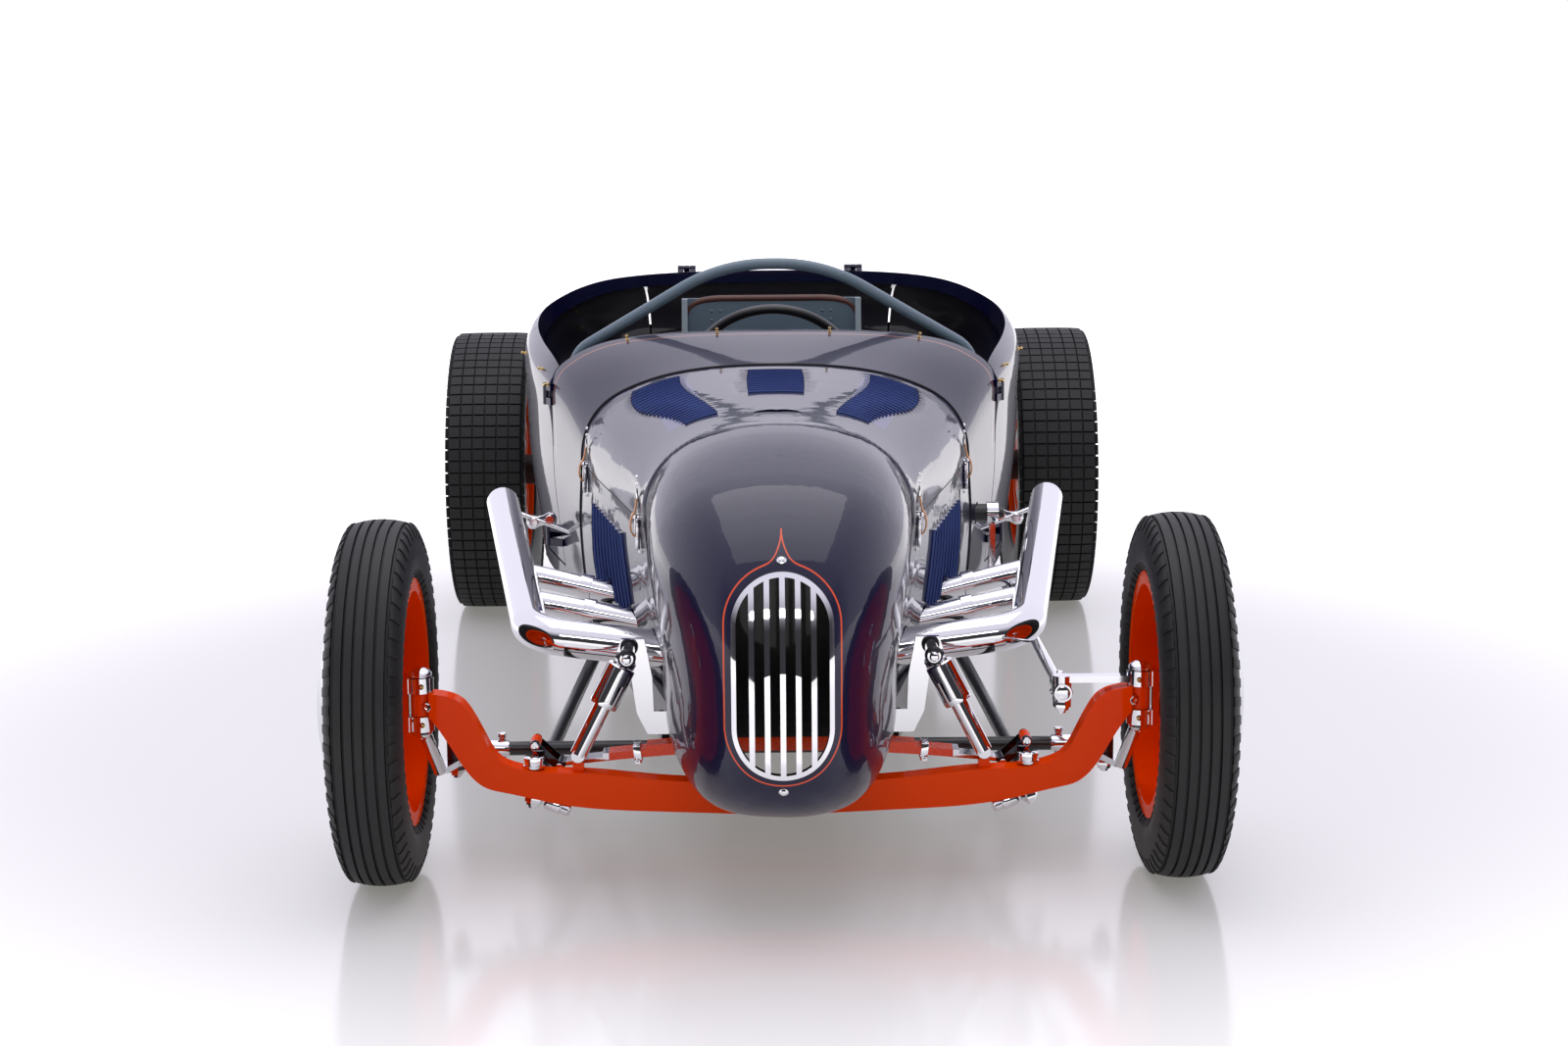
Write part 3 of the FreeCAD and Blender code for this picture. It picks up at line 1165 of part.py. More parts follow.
# Steering box on the tunnel, its cross tube to the left, and the column to the wheel.
wheel_centre = Vector(0, at(size("steering_wheel_y")), size("steering_wheel_z"))
column_foot = Vector(0, shaft_y, shaft_z)
down_column = (column_foot - wheel_centre).normalize()
hub_reach = size("rod_end_radius") * 2
column_top = wheel_centre + down_column * (hub_reach + gap)
box_half = 2 * size("column_radius")
steering_box = joined([
    box(Vector(-box_half, shaft_y - box_half, size("steering_box_bottom")),
        Vector(box_half, shaft_y + box_half, shaft_z + box_half)),
    rod(Vector(0, shaft_y, shaft_z), Vector(pitman_in - arm_half - gap, shaft_y, shaft_z), size("column_radius")),
    rod(Vector(0, shaft_y, shaft_z), Vector(pitman_out + arm_half + size("arm_thickness"), shaft_y, shaft_z),
        size("pitman_shaft_radius")),
    rod(column_foot, column_top, size("column_radius")),
])
keep_shape("steering_box", steering_box)

rim_ring = Part.makeTorus(size("steering_wheel_radius"), size("steering_rim_radius"), wheel_centre, down_column)
spokes = []
spoke_count = 4
for index in range(spoke_count):
    turn = Rotation(Vector(0, 0, 1), down_column)
    angle = 2 * math.pi * (index + 1 / 2) / spoke_count
    out = turn.multVec(Vector(math.cos(angle), math.sin(angle), 0)) * size("steering_wheel_radius")
    spokes.append(rod(wheel_centre, wheel_centre + out, size("steering_rim_radius") / 2))
keep_shape("steering_wheel", joined([rim_ring, rod(wheel_centre - down_column * arm_half, wheel_centre + down_column * hub_reach,
                                                   size("rod_end_radius") * 1.5)] + spokes))

# Seat: a folded bucket on the tunnel, and its pad.
seat_low = size("rear_tunnel_top") + seam
seat_half = size("seat_half_width")
wall = size("seat_wall")
seat_front = at(size("seat_back_y") - 2 * seat_half)
seat_back = at(size("seat_back_y"))
seat_line = [(seat_front, seat_low), (seat_front, seat_low + 5 * wall), (seat_back - 6 * wall, seat_low + 8 * wall),
             (seat_back - wall, size("seat_top")), (seat_back + 2 * wall, size("seat_top")), (seat_back, seat_low)]
bucket = prism([Vector(-seat_half, y, z) for y, z in seat_line], Vector(2 * seat_half, 0, 0))
room_line = [(seat_front - wall, seat_low + wall), (seat_back - wall, seat_low + wall),
             (seat_back + wall, size("seat_top") + wall), (seat_front - wall, size("seat_top") + wall)]
room = prism([Vector(-seat_half + wall, y, z) for y, z in room_line], Vector(2 * (seat_half - wall), 0, 0))
keep_shape("seat", bucket.cut(room))
block("seat_cushion", ("seat_wall + seat_gap - seat_half_width", "seat_half_width - seat_wall - seat_gap"),
      ("front_axle_y + seat_back_y - 2 * seat_half_width + seat_wall",
       "front_axle_y + seat_back_y - 2 * seat_wall - seat_gap"),
      ("rear_tunnel_top + 2 * seat_gap + seat_wall", "rear_tunnel_top + seat_wall * 5"))

# Hoop: a low tube arch over the cockpit's front, its feet on the floor.
hoop_y = at(size("hoop_y"))
hoop_half = size("hoop_half_width")
shoulder_z = size("hoop_top") - size("steering_wheel_radius")
hoop_points = [Vector(hoop_half - 2 * size("tub_wall"), hoop_y, size("floor_top") + size("hoop_radius")),
               Vector(hoop_half, hoop_y, shoulder_z),
               Vector(hoop_half / 4, hoop_y, size("hoop_top"))]
hoop_points += [Vector(-p.x, p.y, p.z) for p in reversed(hoop_points)]
hoop_bends = [size("exhaust_bend"), 5 * size("exhaust_bend")]
foot_low = Vector(hoop_points[0].x, hoop_y, size("floor_top") + seam)
foot_plate = rod(foot_low, foot_low + Vector(0, 0, 2 * size("hoop_radius")), 2 * size("hoop_radius"))
arch = sweep(hoop_points, hoop_bends + hoop_bends[::-1], size("hoop_radius"))
keep_shape("hoop", joined([arch] + both_sides(foot_plate)))

# Rear axle: tubes and shafts, the centre casing, brake plates and the torque tube.
rear_y = size("rear_axle_y")
rear_z = size("rear_tyre_radius")
drum_x = size("rear_track") / 2 - size("drum_reach")
plate_x = drum_x - size("panel_gap")
casing = [
    rod(Vector(-plate_x, rear_y, rear_z), Vector(plate_x, rear_y, rear_z), size("rear_axle_radius")),
    rod(Vector(-size("rear_track") / 2 - size("hub_outboard"), rear_y, rear_z),
        Vector(size("rear_track") / 2 + size("hub_outboard"), rear_y, rear_z), size("rear_axle_shaft_radius")),
    rod(Vector(-size("quick_change_radius") / 2, rear_y, rear_z), Vector(size("quick_change_radius") / 2, rear_y, rear_z),
        size("quick_change_radius")),
    rod(Vector(0, at(size("gearbox_rear")) + seam, tube_z), Vector(0, rear_y, tube_z), size("torque_tube_radius")),
]
for plate in both_sides(rod(Vector(plate_x - size("arm_thickness"), rear_y, rear_z), Vector(plate_x, rear_y, rear_z),
                            size("drum_radius"))):
    casing.append(plate)
rear_leaf_y = rear_y + size("rear_spring_back")
rear_perch_z = rear_z + size("leaf_eye_radius")
arm_low = rear_z - 3 * size("leaf_eye_radius")
perch = [
    box(Vector(perch_x - size("leaf_eye_radius") / 2, rear_y, arm_low),
        Vector(perch_x + size("leaf_eye_radius") / 2, rear_leaf_y + leaf_half / 2, arm_low + 3 * size("leaf_eye_radius") / 2)),
    box(Vector(perch_x - size("leaf_eye_radius") / 2, rear_leaf_y - leaf_half / 2, arm_low),
        Vector(perch_x + size("leaf_eye_radius") / 2, rear_leaf_y + leaf_half / 2, rear_perch_z)),
    rod(Vector(perch_x, rear_leaf_y - leaf_half, rear_perch_z), Vector(perch_x, rear_leaf_y + leaf_half, rear_perch_z),
        size("leaf_eye_radius")),
]
for piece in perch:
    casing += both_sides(piece)
keep_shape("rear_axle", joined(casing))
rear_leaf_centre = beam_low - size("leaf_count") * size("leaf_thickness") - seam
rear_leaf_end = rear_z - size("tub_wall")
keep_shape("rear_spring", leaf_spring(rear_leaf_y, size("front_leaf_half_span"), rear_leaf_end,
                                      rear_leaf_centre, perch_x, rear_perch_z))
rear_foot = Vector(rear_spacing + rail_half + size("radius_rod_radius") + size("hood_wall"), at(size("door_rear")),
                   size("rail_bottom") + size("rail_height") / 3)
rear_end = Vector(perch_x - size("overrun"), rear_y - size("rear_axle_radius") - seam, tube_z)
rear_rod = joined([
    rod(rear_foot, rear_end - Vector(0, size("seat_wall"), 0), size("radius_rod_radius")),
    rod(rear_end - Vector(0, size("tub_wall"), 0), rear_end, size("radius_rod_radius") * 1.3),
    rod(Vector(rear_spacing + rail_half + seam, rear_foot.y, rear_foot.z),
        rear_foot + Vector(size("radius_rod_radius"), 0, 0), size("radius_rod_radius") * 1.3),
])
keep_shape("rear_radius_rods", Part.makeCompound(both_sides(rear_rod)))

doc.recompute()
for item in doc.Objects:
    if "Invalid" in item.State or "Error" in item.State:
        raise RuntimeError("%s did not build" % item.Label)

pieces = [item for item in doc.Objects if item.TypeId in ("PartDesign::Body", "Part::Feature", "Part::Box")]
for item in pieces:
    if item.Shape.isNull() or not item.Shape.isValid() or not item.Shape.Solids:
        raise RuntimeError("%s is not a valid solid" % item.Label)

os.makedirs("parts", exist_ok=True)
for item in pieces:
    item.Shape.exportStep("parts/%s.step" % item.Label)
print("%d parts written" % len(pieces))
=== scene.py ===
import math

import bpy
from mathutils import Matrix, Vector


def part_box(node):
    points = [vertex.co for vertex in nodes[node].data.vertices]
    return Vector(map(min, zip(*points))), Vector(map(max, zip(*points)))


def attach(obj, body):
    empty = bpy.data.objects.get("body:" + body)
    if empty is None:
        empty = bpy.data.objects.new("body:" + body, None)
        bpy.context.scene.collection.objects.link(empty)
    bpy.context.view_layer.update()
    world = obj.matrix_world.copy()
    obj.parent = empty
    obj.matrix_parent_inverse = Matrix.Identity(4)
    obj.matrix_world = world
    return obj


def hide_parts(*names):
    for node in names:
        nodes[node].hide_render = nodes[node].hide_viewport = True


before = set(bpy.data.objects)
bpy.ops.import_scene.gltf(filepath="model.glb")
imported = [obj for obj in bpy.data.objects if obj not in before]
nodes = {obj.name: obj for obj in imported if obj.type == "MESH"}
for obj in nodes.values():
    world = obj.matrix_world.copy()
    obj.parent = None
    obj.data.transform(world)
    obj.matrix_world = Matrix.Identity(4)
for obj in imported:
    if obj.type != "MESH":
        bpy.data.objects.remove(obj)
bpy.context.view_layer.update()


# The view: the photographer stands 4.8 m ahead of the front axle at about 1.46 m,
# looks slightly down at the nose, and uses a lens of about 63 mm on a full frame.
CAMERA_PLACE = (-0.0378, -6.097, 1.4575)
CAMERA_YAW = 0.0096
CAMERA_PITCH_DOWN = 0.1674
CAMERA_ROLL = -0.008
CAMERA_LENS_MM = 63.07

camera_data = bpy.data.cameras.new("view")
camera_data.sensor_width = 36.0
camera_data.lens = CAMERA_LENS_MM
camera = bpy.data.objects.new("view", camera_data)
bpy.context.collection.objects.link(camera)
ahead = Vector((math.sin(CAMERA_YAW) * math.cos(CAMERA_PITCH_DOWN),
                math.cos(CAMERA_YAW) * math.cos(CAMERA_PITCH_DOWN), -math.sin(CAMERA_PITCH_DOWN)))
level = Vector((math.cos(CAMERA_YAW), -math.sin(CAMERA_YAW), 0))
upward = level.cross(ahead)
side_axis = math.cos(CAMERA_ROLL) * level + math.sin(CAMERA_ROLL) * upward
top_axis = -math.sin(CAMERA_ROLL) * level + math.cos(CAMERA_ROLL) * upward
camera.matrix_world = Matrix.Translation(CAMERA_PLACE) @ Matrix(
    (side_axis, top_axis, -ahead)).transposed().to_4x4()
bpy.context.scene.camera = camera


# Studio: a white cove with a sealed white floor that mirrors the car faintly, bright soft
# light overhead and behind, and a dimmer side behind the photographer that the paint mirrors.
def colour(hex_text):
    """An sRGB hex value as linear light."""
    channels = [int(hex_text[start:start + 2], 16) / 255 for start in (1, 3, 5)]
    return tuple(c / 12.92 if c <= 0.04045 else ((c + 0.055) / 1.055) ** 2.4 for c in channels) + (1,)


def add_node(tree, kind, inputs=None, **settings):
    """Adds one node; inputs holds values, or (node, output) pairs to link."""
    node = tree.nodes.new(kind)
    for key, setting in settings.items():
        setattr(node, key, setting)
    for key, given in (inputs or {}).items():
        socket = node.inputs[key]
        if isinstance(given, tuple) and hasattr(given[0], "outputs"):
            tree.links.new(given[0].outputs[given[1]], socket)
        else:
            socket.default_value = given
    return node


def new_material(name):
    """Starts a material; returns its tree, its Texture Coordinate node and a finisher."""
    material = bpy.data.materials.new(name)
    material.use_nodes = True
    tree = material.node_tree
    tree.nodes.clear()

    def finish(shader_inputs):
        shader = add_node(tree, "ShaderNodeBsdfPrincipled", shader_inputs)
        add_node(tree, "ShaderNodeOutputMaterial", {"Surface": (shader, 0)})
        return material

    return tree, add_node(tree, "ShaderNodeTexCoord"), finish


bpy.context.scene.view_settings.view_transform = "Standard"
world = bpy.data.worlds.new("studio")
bpy.context.scene.world = world
world.use_nodes = True
room_tree = world.node_tree
room_tree.nodes.clear()
heading = add_node(room_tree, "ShaderNodeTexCoord")
parts = add_node(room_tree, "ShaderNodeSeparateXYZ", {0: (heading, "Generated")})
toward_back = add_node(room_tree, "ShaderNodeMapRange", {
    "Value": (parts, "Y"), "From Min": -0.80, "From Max": -0.05, "To Min": 0.05, "To Max": 1.15},
    interpolation_type="SMOOTHSTEP")
overhead = add_node(room_tree, "ShaderNodeMapRange", {
    "Value": (parts, "Z"), "From Min": 0.22, "From Max": 0.75, "To Min": 0.0, "To Max": 1.0},
    interpolation_type="SMOOTHSTEP")
strength = add_node(room_tree, "ShaderNodeMath", {0: (toward_back, 0), 1: (overhead, 0)},
                    operation="MAXIMUM")
room = add_node(room_tree, "ShaderNodeBackground", {"Color": colour("#f1eefc"), "Strength": (strength, 0)})
# the cove is plain white where the camera looks at it, and the graded room is what the paint mirrors
backdrop = add_node(room_tree, "ShaderNodeBackground", {"Color": colour("#ffffff"), "Strength": 1.02})
seen = add_node(room_tree, "ShaderNodeLightPath")
both = add_node(room_tree, "ShaderNodeMixShader",
                {0: (seen, "Is Camera Ray"), 1: (room, 0), 2: (backdrop, 0)})
add_node(room_tree, "ShaderNodeOutputWorld", {"Surface": (both, 0)})

# name, place, target, width, depth, power in watts
LIGHTS = (
    ("overhead_light", (0, -0.2, 4.4), (0, -0.2, 0), 3.6, 4.6, 62),
    ("front_strip", (0, -7.8, 3.6), (0, -1.2, 0.2), 3.5, 0.7, 40),
)
for light_name, stand, target, width, depth, power in LIGHTS:
    light_data = bpy.data.lights.new(light_name, "AREA")
    light_data.shape = "RECTANGLE"
    light_data.size = width
    light_data.size_y = depth
    light_data.energy = power
    light = bpy.data.objects.new(light_name, light_data)
    light.location = stand
    light.rotation_euler = (Vector(target) - Vector(stand)).to_track_quat("-Z", "Y").to_euler()
    bpy.context.collection.objects.link(light)

# sealed concrete, white-painted and smooth enough to mirror; a painted shadow makes it greyer under the car,
# and it glows as painted light, more the farther it is from the car
bpy.ops.mesh.primitive_plane_add(size=60)
floor_sheet = bpy.context.object
floor_sheet.name = "studio_floor"
floor_sheet.location.z = -0.001
tree, place, finish_material = new_material("sealed_floor_painted_shadow_and_glow")
distance = add_node(tree, "ShaderNodeVectorMath", {0: (place, "Object")}, operation="LENGTH")
painted_shadow_and_glow_fall = add_node(tree, "ShaderNodeMapRange", {"Value": (distance, "Value"), "From Min": 1.3, "From Max": 4.3},
                interpolation_type="SMOOTHSTEP")
# painted shadow: grey near the car, white far from it
painted_shadow_tone = add_node(tree, "ShaderNodeValToRGB", {"Fac": (painted_shadow_and_glow_fall, 0)})
painted_shadow_tone.color_ramp.elements[0].color = colour("#bdbcbf")
painted_shadow_tone.color_ramp.elements[1].color = colour("#ffffff")
# painted light: the floor itself glows, brighter away from the car
painted_glow = add_node(tree, "ShaderNodeMapRange", {"Value": (painted_shadow_and_glow_fall, 0), "To Min": 0.20, "To Max": 0.85})
floor_sheet.data.materials.append(finish_material({
    "Base Color": (painted_shadow_tone, 0), "Roughness": 0.13, "Specular IOR Level": 0.5,
    "Emission Color": colour("#fffdf4"), "Emission Strength": (painted_glow, 0)}))


# Body panels: steel and aluminium skins in a near-black navy lacquer under clear coat,
# polished flat, so they mirror the studio and show blue only where light falls steeply.
def mottled(tree, place, scale, detail, tones, positions=(0.0, 1.0)):
    """A finish that drifts between two tones; returns its noise and its colour."""
    drift = add_node(tree, "ShaderNodeTexNoise",
                     {"Vector": (place, "Object"), "Scale": scale, "Detail": detail})
    tone = add_node(tree, "ShaderNodeValToRGB", {"Fac": (drift, 0)})
    for end, position, hex_text in zip(tone.color_ramp.elements, positions, tones):
        end.position = position
        end.color = colour(hex_text)
    return drift, tone


def worked_out(tree, place, rows):
    """Works out a pattern from rows of (result, operation, operands); x, y and z are the place."""
    split = add_node(tree, "ShaderNodeSeparateXYZ", {0: (place, "Object")})
    results = {"x": (split, "X"), "y": (split, "Y"), "z": (split, "Z")}
    for result, operation, *operands in rows:
        inputs = {index: results.get(operand, operand) for index, operand in enumerate(operands)}
        results[result] = (add_node(tree, "ShaderNodeMath", inputs, operation=operation), 0)
    return results


def navy_lacquer_with(name, rows=(), accent="#d9502a"):
    """The body's lacquer; the rows work out a mask, which is where the accent colour lies."""
    tree, place, finish_material = new_material(name)
    _, tint = mottled(tree, place, 900.0, 2.0, ("#06061c", "#131342"), (0.35, 0.75))
    shown = (tint, 0)
    if rows:
        mask = worked_out(tree, place, rows)["mask"]
        blend = add_node(tree, "ShaderNodeMix", {0: mask, 6: (tint, 0), 7: colour(accent)}, data_type="RGBA")
        shown = (blend, 2)
    wave = add_node(tree, "ShaderNodeTexNoise", {"Vector": (place, "Object"), "Scale": 260.0, "Detail": 1.0})
    peel = add_node(tree, "ShaderNodeBump", {"Height": (wave, 0), "Strength": 0.015, "Distance": 0.001})
    return finish_material({
        "Base Color": shown, "Roughness": 0.35, "Specular IOR Level": 0.1, "Coat Weight": 0.62,
        "Coat IOR": 1.5, "Coat Roughness": 0.02, "Coat Normal": (peel, 0)})


def dress(material, *names):
    """Gives solids their finish."""
    for name in names:
        mesh = nodes[name].data
        mesh.materials.clear()
        mesh.materials.append(material)


navy_lacquer = navy_lacquer_with("navy_lacquer")
dress(navy_lacquer, "body_tub", "door_left", "door_right", "deck_lid")


# Nose stripe: a hand-drawn line in orange-red sign paint, 2.5 mm wide and 12 mm outside the
# grille, which runs up into a spike.
GRILLE_MIDDLE = 0.4685
GRILLE_STRAIGHT = 0.0845
STRIPE_REACH = 0.0960
SPIKE_FOOT = 0.600
SPIKE_TIP = 0.6945
SPIKE_LENGTH = 0.055
SPIKE_HALF = 0.026
SPIKE_FILLET = 0.014
NOSE_FACE = -1.52


def soft_line(full, none):
    """Rows that draw a line: full colour up to one distance away from its middle, none past another."""
    return (
        ("line", "SUBTRACT", none, "away"),
        ("line", "DIVIDE", "line", none - full),
        ("line", "MINIMUM", "line", 1.0),
        ("line", "MAXIMUM", "line", 0.0),
    )


NOSE_STRIPE = (
    ("across", "ABSOLUTE", "x"),
    ("off_middle", "SUBTRACT", "z", GRILLE_MIDDLE),
    ("off_middle", "ABSOLUTE", "off_middle"),
    ("beyond", "SUBTRACT", "off_middle", GRILLE_STRAIGHT),
    ("beyond", "MAXIMUM", "beyond", 0.0),
    ("beyond", "MULTIPLY", "beyond", "beyond"),
    ("reach", "MULTIPLY", "across", "across"),
    ("reach", "ADD", "reach", "beyond"),
    ("reach", "SQRT", "reach"),
    ("oval", "SUBTRACT", "reach", STRIPE_REACH),
    ("below_tip", "SUBTRACT", SPIKE_TIP, "z"),
    ("share", "MAXIMUM", "below_tip", 0.0),
    ("share", "DIVIDE", "share", SPIKE_LENGTH),
    ("share", "MINIMUM", "share", 1.0),
    ("half", "MULTIPLY", "share", "share"),
    ("half", "MULTIPLY", "half", SPIKE_HALF),
    ("past_tip", "MULTIPLY", "below_tip", -1.0),
    ("past_tip", "MAXIMUM", "past_tip", 0.0),
    ("spike", "SUBTRACT", "across", "half"),
    ("spike", "ADD", "spike", "past_tip"),
    ("below_foot", "SUBTRACT", SPIKE_FOOT, "z"),
    ("spike", "MAXIMUM", "spike", "below_foot"),
    ("outline", "SMOOTH_MIN", "oval", "spike", SPIKE_FILLET),
    ("away", "ABSOLUTE", "outline"),
) + soft_line(0.0010, 0.0016) + (
    ("front", "LESS_THAN", "y", NOSE_FACE),
    ("mask", "MULTIPLY", "line", "front"),
)
dress(navy_lacquer_with("navy_lacquer_nose", NOSE_STRIPE), "nose")


# Cowl stripe: a 2 mm line in paler orange sign paint that follows the cowl's rear edge, 34 mm
# in front of it, and ends halfway down each side.
COWL_STRIPE = (
    ("away", "ADD", "y", 0.074),
    ("away", "ABSOLUTE", "away"),
) + soft_line(0.0008, 0.0013) + (
    ("high", "GREATER_THAN", "z", 0.60),
    ("mask", "MULTIPLY", "line", "high"),
)
dress(navy_lacquer_with("navy_lacquer_cowl", COWL_STRIPE, "#e08a5c"), "cowl")


# Louvre patches: three on the hood's top, of which the outer two splay towards the cowl, and one on each
# side. Over each patch the lacquer is painted a lighter blue, a painted highlight standing in for pressed
# faces that lean into the light.
PATCH_FRONT = -0.957
PATCH_LENGTH = 0.567
PATCH_PAINTED_HIGHLIGHT = "#1c2660"


def inside(result, value, low, high):
    """Rows for where a value lies between two others."""
    return (
        (result, "GREATER_THAN", value, low),
        ("not_past", "LESS_THAN", value, high),
        (result, "MULTIPLY", result, "not_past"),
    )


TOP_LOUVRES = (
    ("across", "ABSOLUTE", "x"),
    ("along", "SUBTRACT", "y", PATCH_FRONT),
    ("along", "DIVIDE", "along", PATCH_LENGTH),
    ("inner", "MULTIPLY_ADD", "along", 0.068, 0.1215),
    ("outer", "MULTIPLY_ADD", "along", 0.080, 0.2035),
) + inside("side_run", "y", -0.958, -0.389) + inside("side_width", "across", "inner", "outer") + (
    ("side", "MULTIPLY", "side_run", "side_width"),
) + inside("middle_run", "y", -0.745, -0.419) + (
    ("middle_width", "LESS_THAN", "across", 0.0530),
    ("middle", "MULTIPLY", "middle_run", "middle_width"),
    ("mask", "MAXIMUM", "side", "middle"),
)
SIDE_LOUVRES = inside("run", "y", -0.871, -0.489) + inside("height", "z", 0.3895, 0.5605) + (
    ("mask", "MULTIPLY", "run", "height"),
)
# the accent here is a painted highlight: a lighter blue over each louvre patch
dress(navy_lacquer_with("navy_lacquer_hood_top", TOP_LOUVRES, PATCH_PAINTED_HIGHLIGHT), "hood_top")
dress(navy_lacquer_with("navy_lacquer_hood_sides", SIDE_LOUVRES, PATCH_PAINTED_HIGHLIGHT),
      "hood_side_left", "hood_side_right")


# Louvre lips: the same lacquer without its gloss, painted light blue on each pressed lip as a painted
# highlight where the floor would light it, and dark blue on the shut line round each lip as painted shade.
def unglossed_painted_light_lacquer(name, dark, light):
    """The lacquer without its gloss, in two tones, for the painted highlight and painted shade of the
    louvres.
    """
    tree, place, finish_material = new_material(name)
    _, tint = mottled(tree, place, 900.0, 2.0, (dark, light))
    return finish_material({"Base Color": (tint, 0), "Roughness": 0.45, "Specular IOR Level": 0.15})


louvre_shut_line_painted_shade = unglossed_painted_light_lacquer("louvre_shut_line_painted_shade_lacquer", "#0d1438", "#161f52")
louvre_lip_painted_highlight = unglossed_painted_light_lacquer("louvre_lip_painted_highlight_lacquer", "#4f63a6", "#6478b8")


# Front tyres: bias-ply rubber on 6.00-16 rims, with five circumferential ribs and a ring of
# short side lugs at each shoulder. Cast in a ring, so each is turned from its section.
SIDES = (("left", 1), ("right", -1))
FRONT_AXLE = (-1.290, 0.3275)
FRONT_WHEEL_X = 0.711
RIBS = 5
RIB_PITCH = 0.018
RIB_HALF = 0.0064
GROOVE_DEPTH = 0.006
GROOVE_DRAFT = 0.0009
TREAD_CROWN = 3.2
LUG_STEPS = 120
LUG_FROM = 0.0486
LUG_TO = 0.0610
LUG_HEIGHT = 0.0022


def only(piece):
    """Makes a piece the only one that is selected, and the active one."""
    bpy.ops.object.select_all(action="DESELECT")
    piece.select_set(True)
    bpy.context.view_layer.objects.active = piece


def finish_piece(piece, name, material, body, smooth_angle=35):
    """Names a new piece, puts its place in its mesh, and says what it is and rides on."""
    only(piece)
    bpy.ops.object.transform_apply(location=True, rotation=True, scale=True)
    bpy.ops.object.shade_smooth_by_angle(angle=math.radians(smooth_angle))
    piece.name = name
    piece.data.name = name
    piece.data.materials.clear()
    piece.data.materials.append(material)
    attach(piece, body)
    return piece


def drawn_line(places):
    """Starts a piece as one vertex, extrudes it from place to place, and stays in edit mode."""
    bpy.ops.object.select_all(action="DESELECT")
    bpy.ops.mesh.primitive_plane_add(size=0.001, location=(0, 0, 0))
    piece = bpy.context.object
    bpy.ops.object.mode_set(mode="EDIT")
    bpy.ops.mesh.select_mode(type="VERT")
    bpy.ops.mesh.select_all(action="SELECT")
    bpy.ops.mesh.merge(type="CENTER")
    bpy.ops.transform.translate(value=places[0])
    for before, after in zip(places, places[1:]):
        bpy.ops.mesh.extrude_region_move(TRANSFORM_OT_translate={"value": after - before})
    bpy.ops.mesh.select_all(action="SELECT")
    return piece


def turned(points, centre, axis, steps, closed=False):
    """Spins a section of (distance along the axis, radius); closed is for a ring."""
    centre = Vector(centre)
    axis = Vector(axis).normalized()
    out = axis.orthogonal().normalized()
    section = [centre + axis * along + out * radius for along, radius in points]
    piece = drawn_line(section + section[:1] if closed else section)
    bpy.ops.mesh.spin(steps=steps, angle=2 * math.pi, center=centre, axis=axis)
    bpy.ops.mesh.select_all(action="SELECT")
    bpy.ops.mesh.remove_doubles(threshold=0.00002)
    bpy.ops.mesh.normals_make_consistent(inside=False)
    bpy.ops.mesh.select_all(action="DESELECT")
    bpy.ops.object.mode_set(mode="OBJECT")
    return piece


def select_faces(piece, wanted):
    """Selects the faces that a test of (face centre, face normal) picks, and enters edit mode."""
    only(piece)
    bpy.ops.object.mode_set(mode="EDIT")
    bpy.ops.mesh.select_mode(type="FACE")
    bpy.ops.mesh.select_all(action="DESELECT")
    bpy.ops.object.mode_set(mode="OBJECT")
    for face in piece.data.polygons:
        face.select = wanted(face.center, face.normal)
    bpy.ops.object.mode_set(mode="EDIT")


# moulded rubber: a fine pebble breaks the sheen, and scuffed parts are paler and duller
tree, place, finish_material = new_material("tyre_rubber")
scuff, tone = mottled(tree, place, 14.0, 5.0, ("#101011", "#1c1c1c"), (0.35, 0.7))
grain = add_node(tree, "ShaderNodeTexNoise", {"Vector": (place, "Object"), "Scale": 420.0, "Detail": 3.0})
pebble = add_node(tree, "ShaderNodeBump", {"Height": (grain, 0), "Strength": 0.25, "Distance": 0.0006})
rough = add_node(tree, "ShaderNodeMapRange", {"Value": (scuff, 0), "To Min": 0.50, "To Max": 0.68})
tyre_rubber = finish_material({
    "Base Color": (tone, 0), "Roughness": (rough, 0), "Specular IOR Level": 0.45, "Normal": (pebble, 0)})

rib_section = []
for index in range(RIBS):
    rib = (index - (RIBS - 1) / 2) * RIB_PITCH
    for edge in (rib - RIB_HALF, rib + RIB_HALF):
        rib_section.append((edge, FRONT_AXLE[1] - TREAD_CROWN * edge * edge))
    if index < RIBS - 1:
        for edge in (rib + RIB_HALF + GROOVE_DRAFT, rib + RIB_PITCH - RIB_HALF - GROOVE_DRAFT):
            rib_section.append((edge, FRONT_AXLE[1] - TREAD_CROWN * edge * edge - GROOVE_DEPTH))
front_side = [(0.0437, 0.3155), (0.0475, 0.3155), (0.0485, 0.3195), (0.0515, 0.3175), (0.0555, 0.3115),
              (0.0590, 0.3035), (0.0625, 0.2945), (0.0655, 0.2800), (0.0668, 0.2650), (0.0655, 0.2480),
              (0.0625, 0.2370), (0.0575, 0.2275), (0.0515, 0.2230), (0.0495, 0.2140), (0.0495, 0.2046)]
front_section = rib_section + front_side + [(-along, radius) for along, radius in reversed(front_side)]
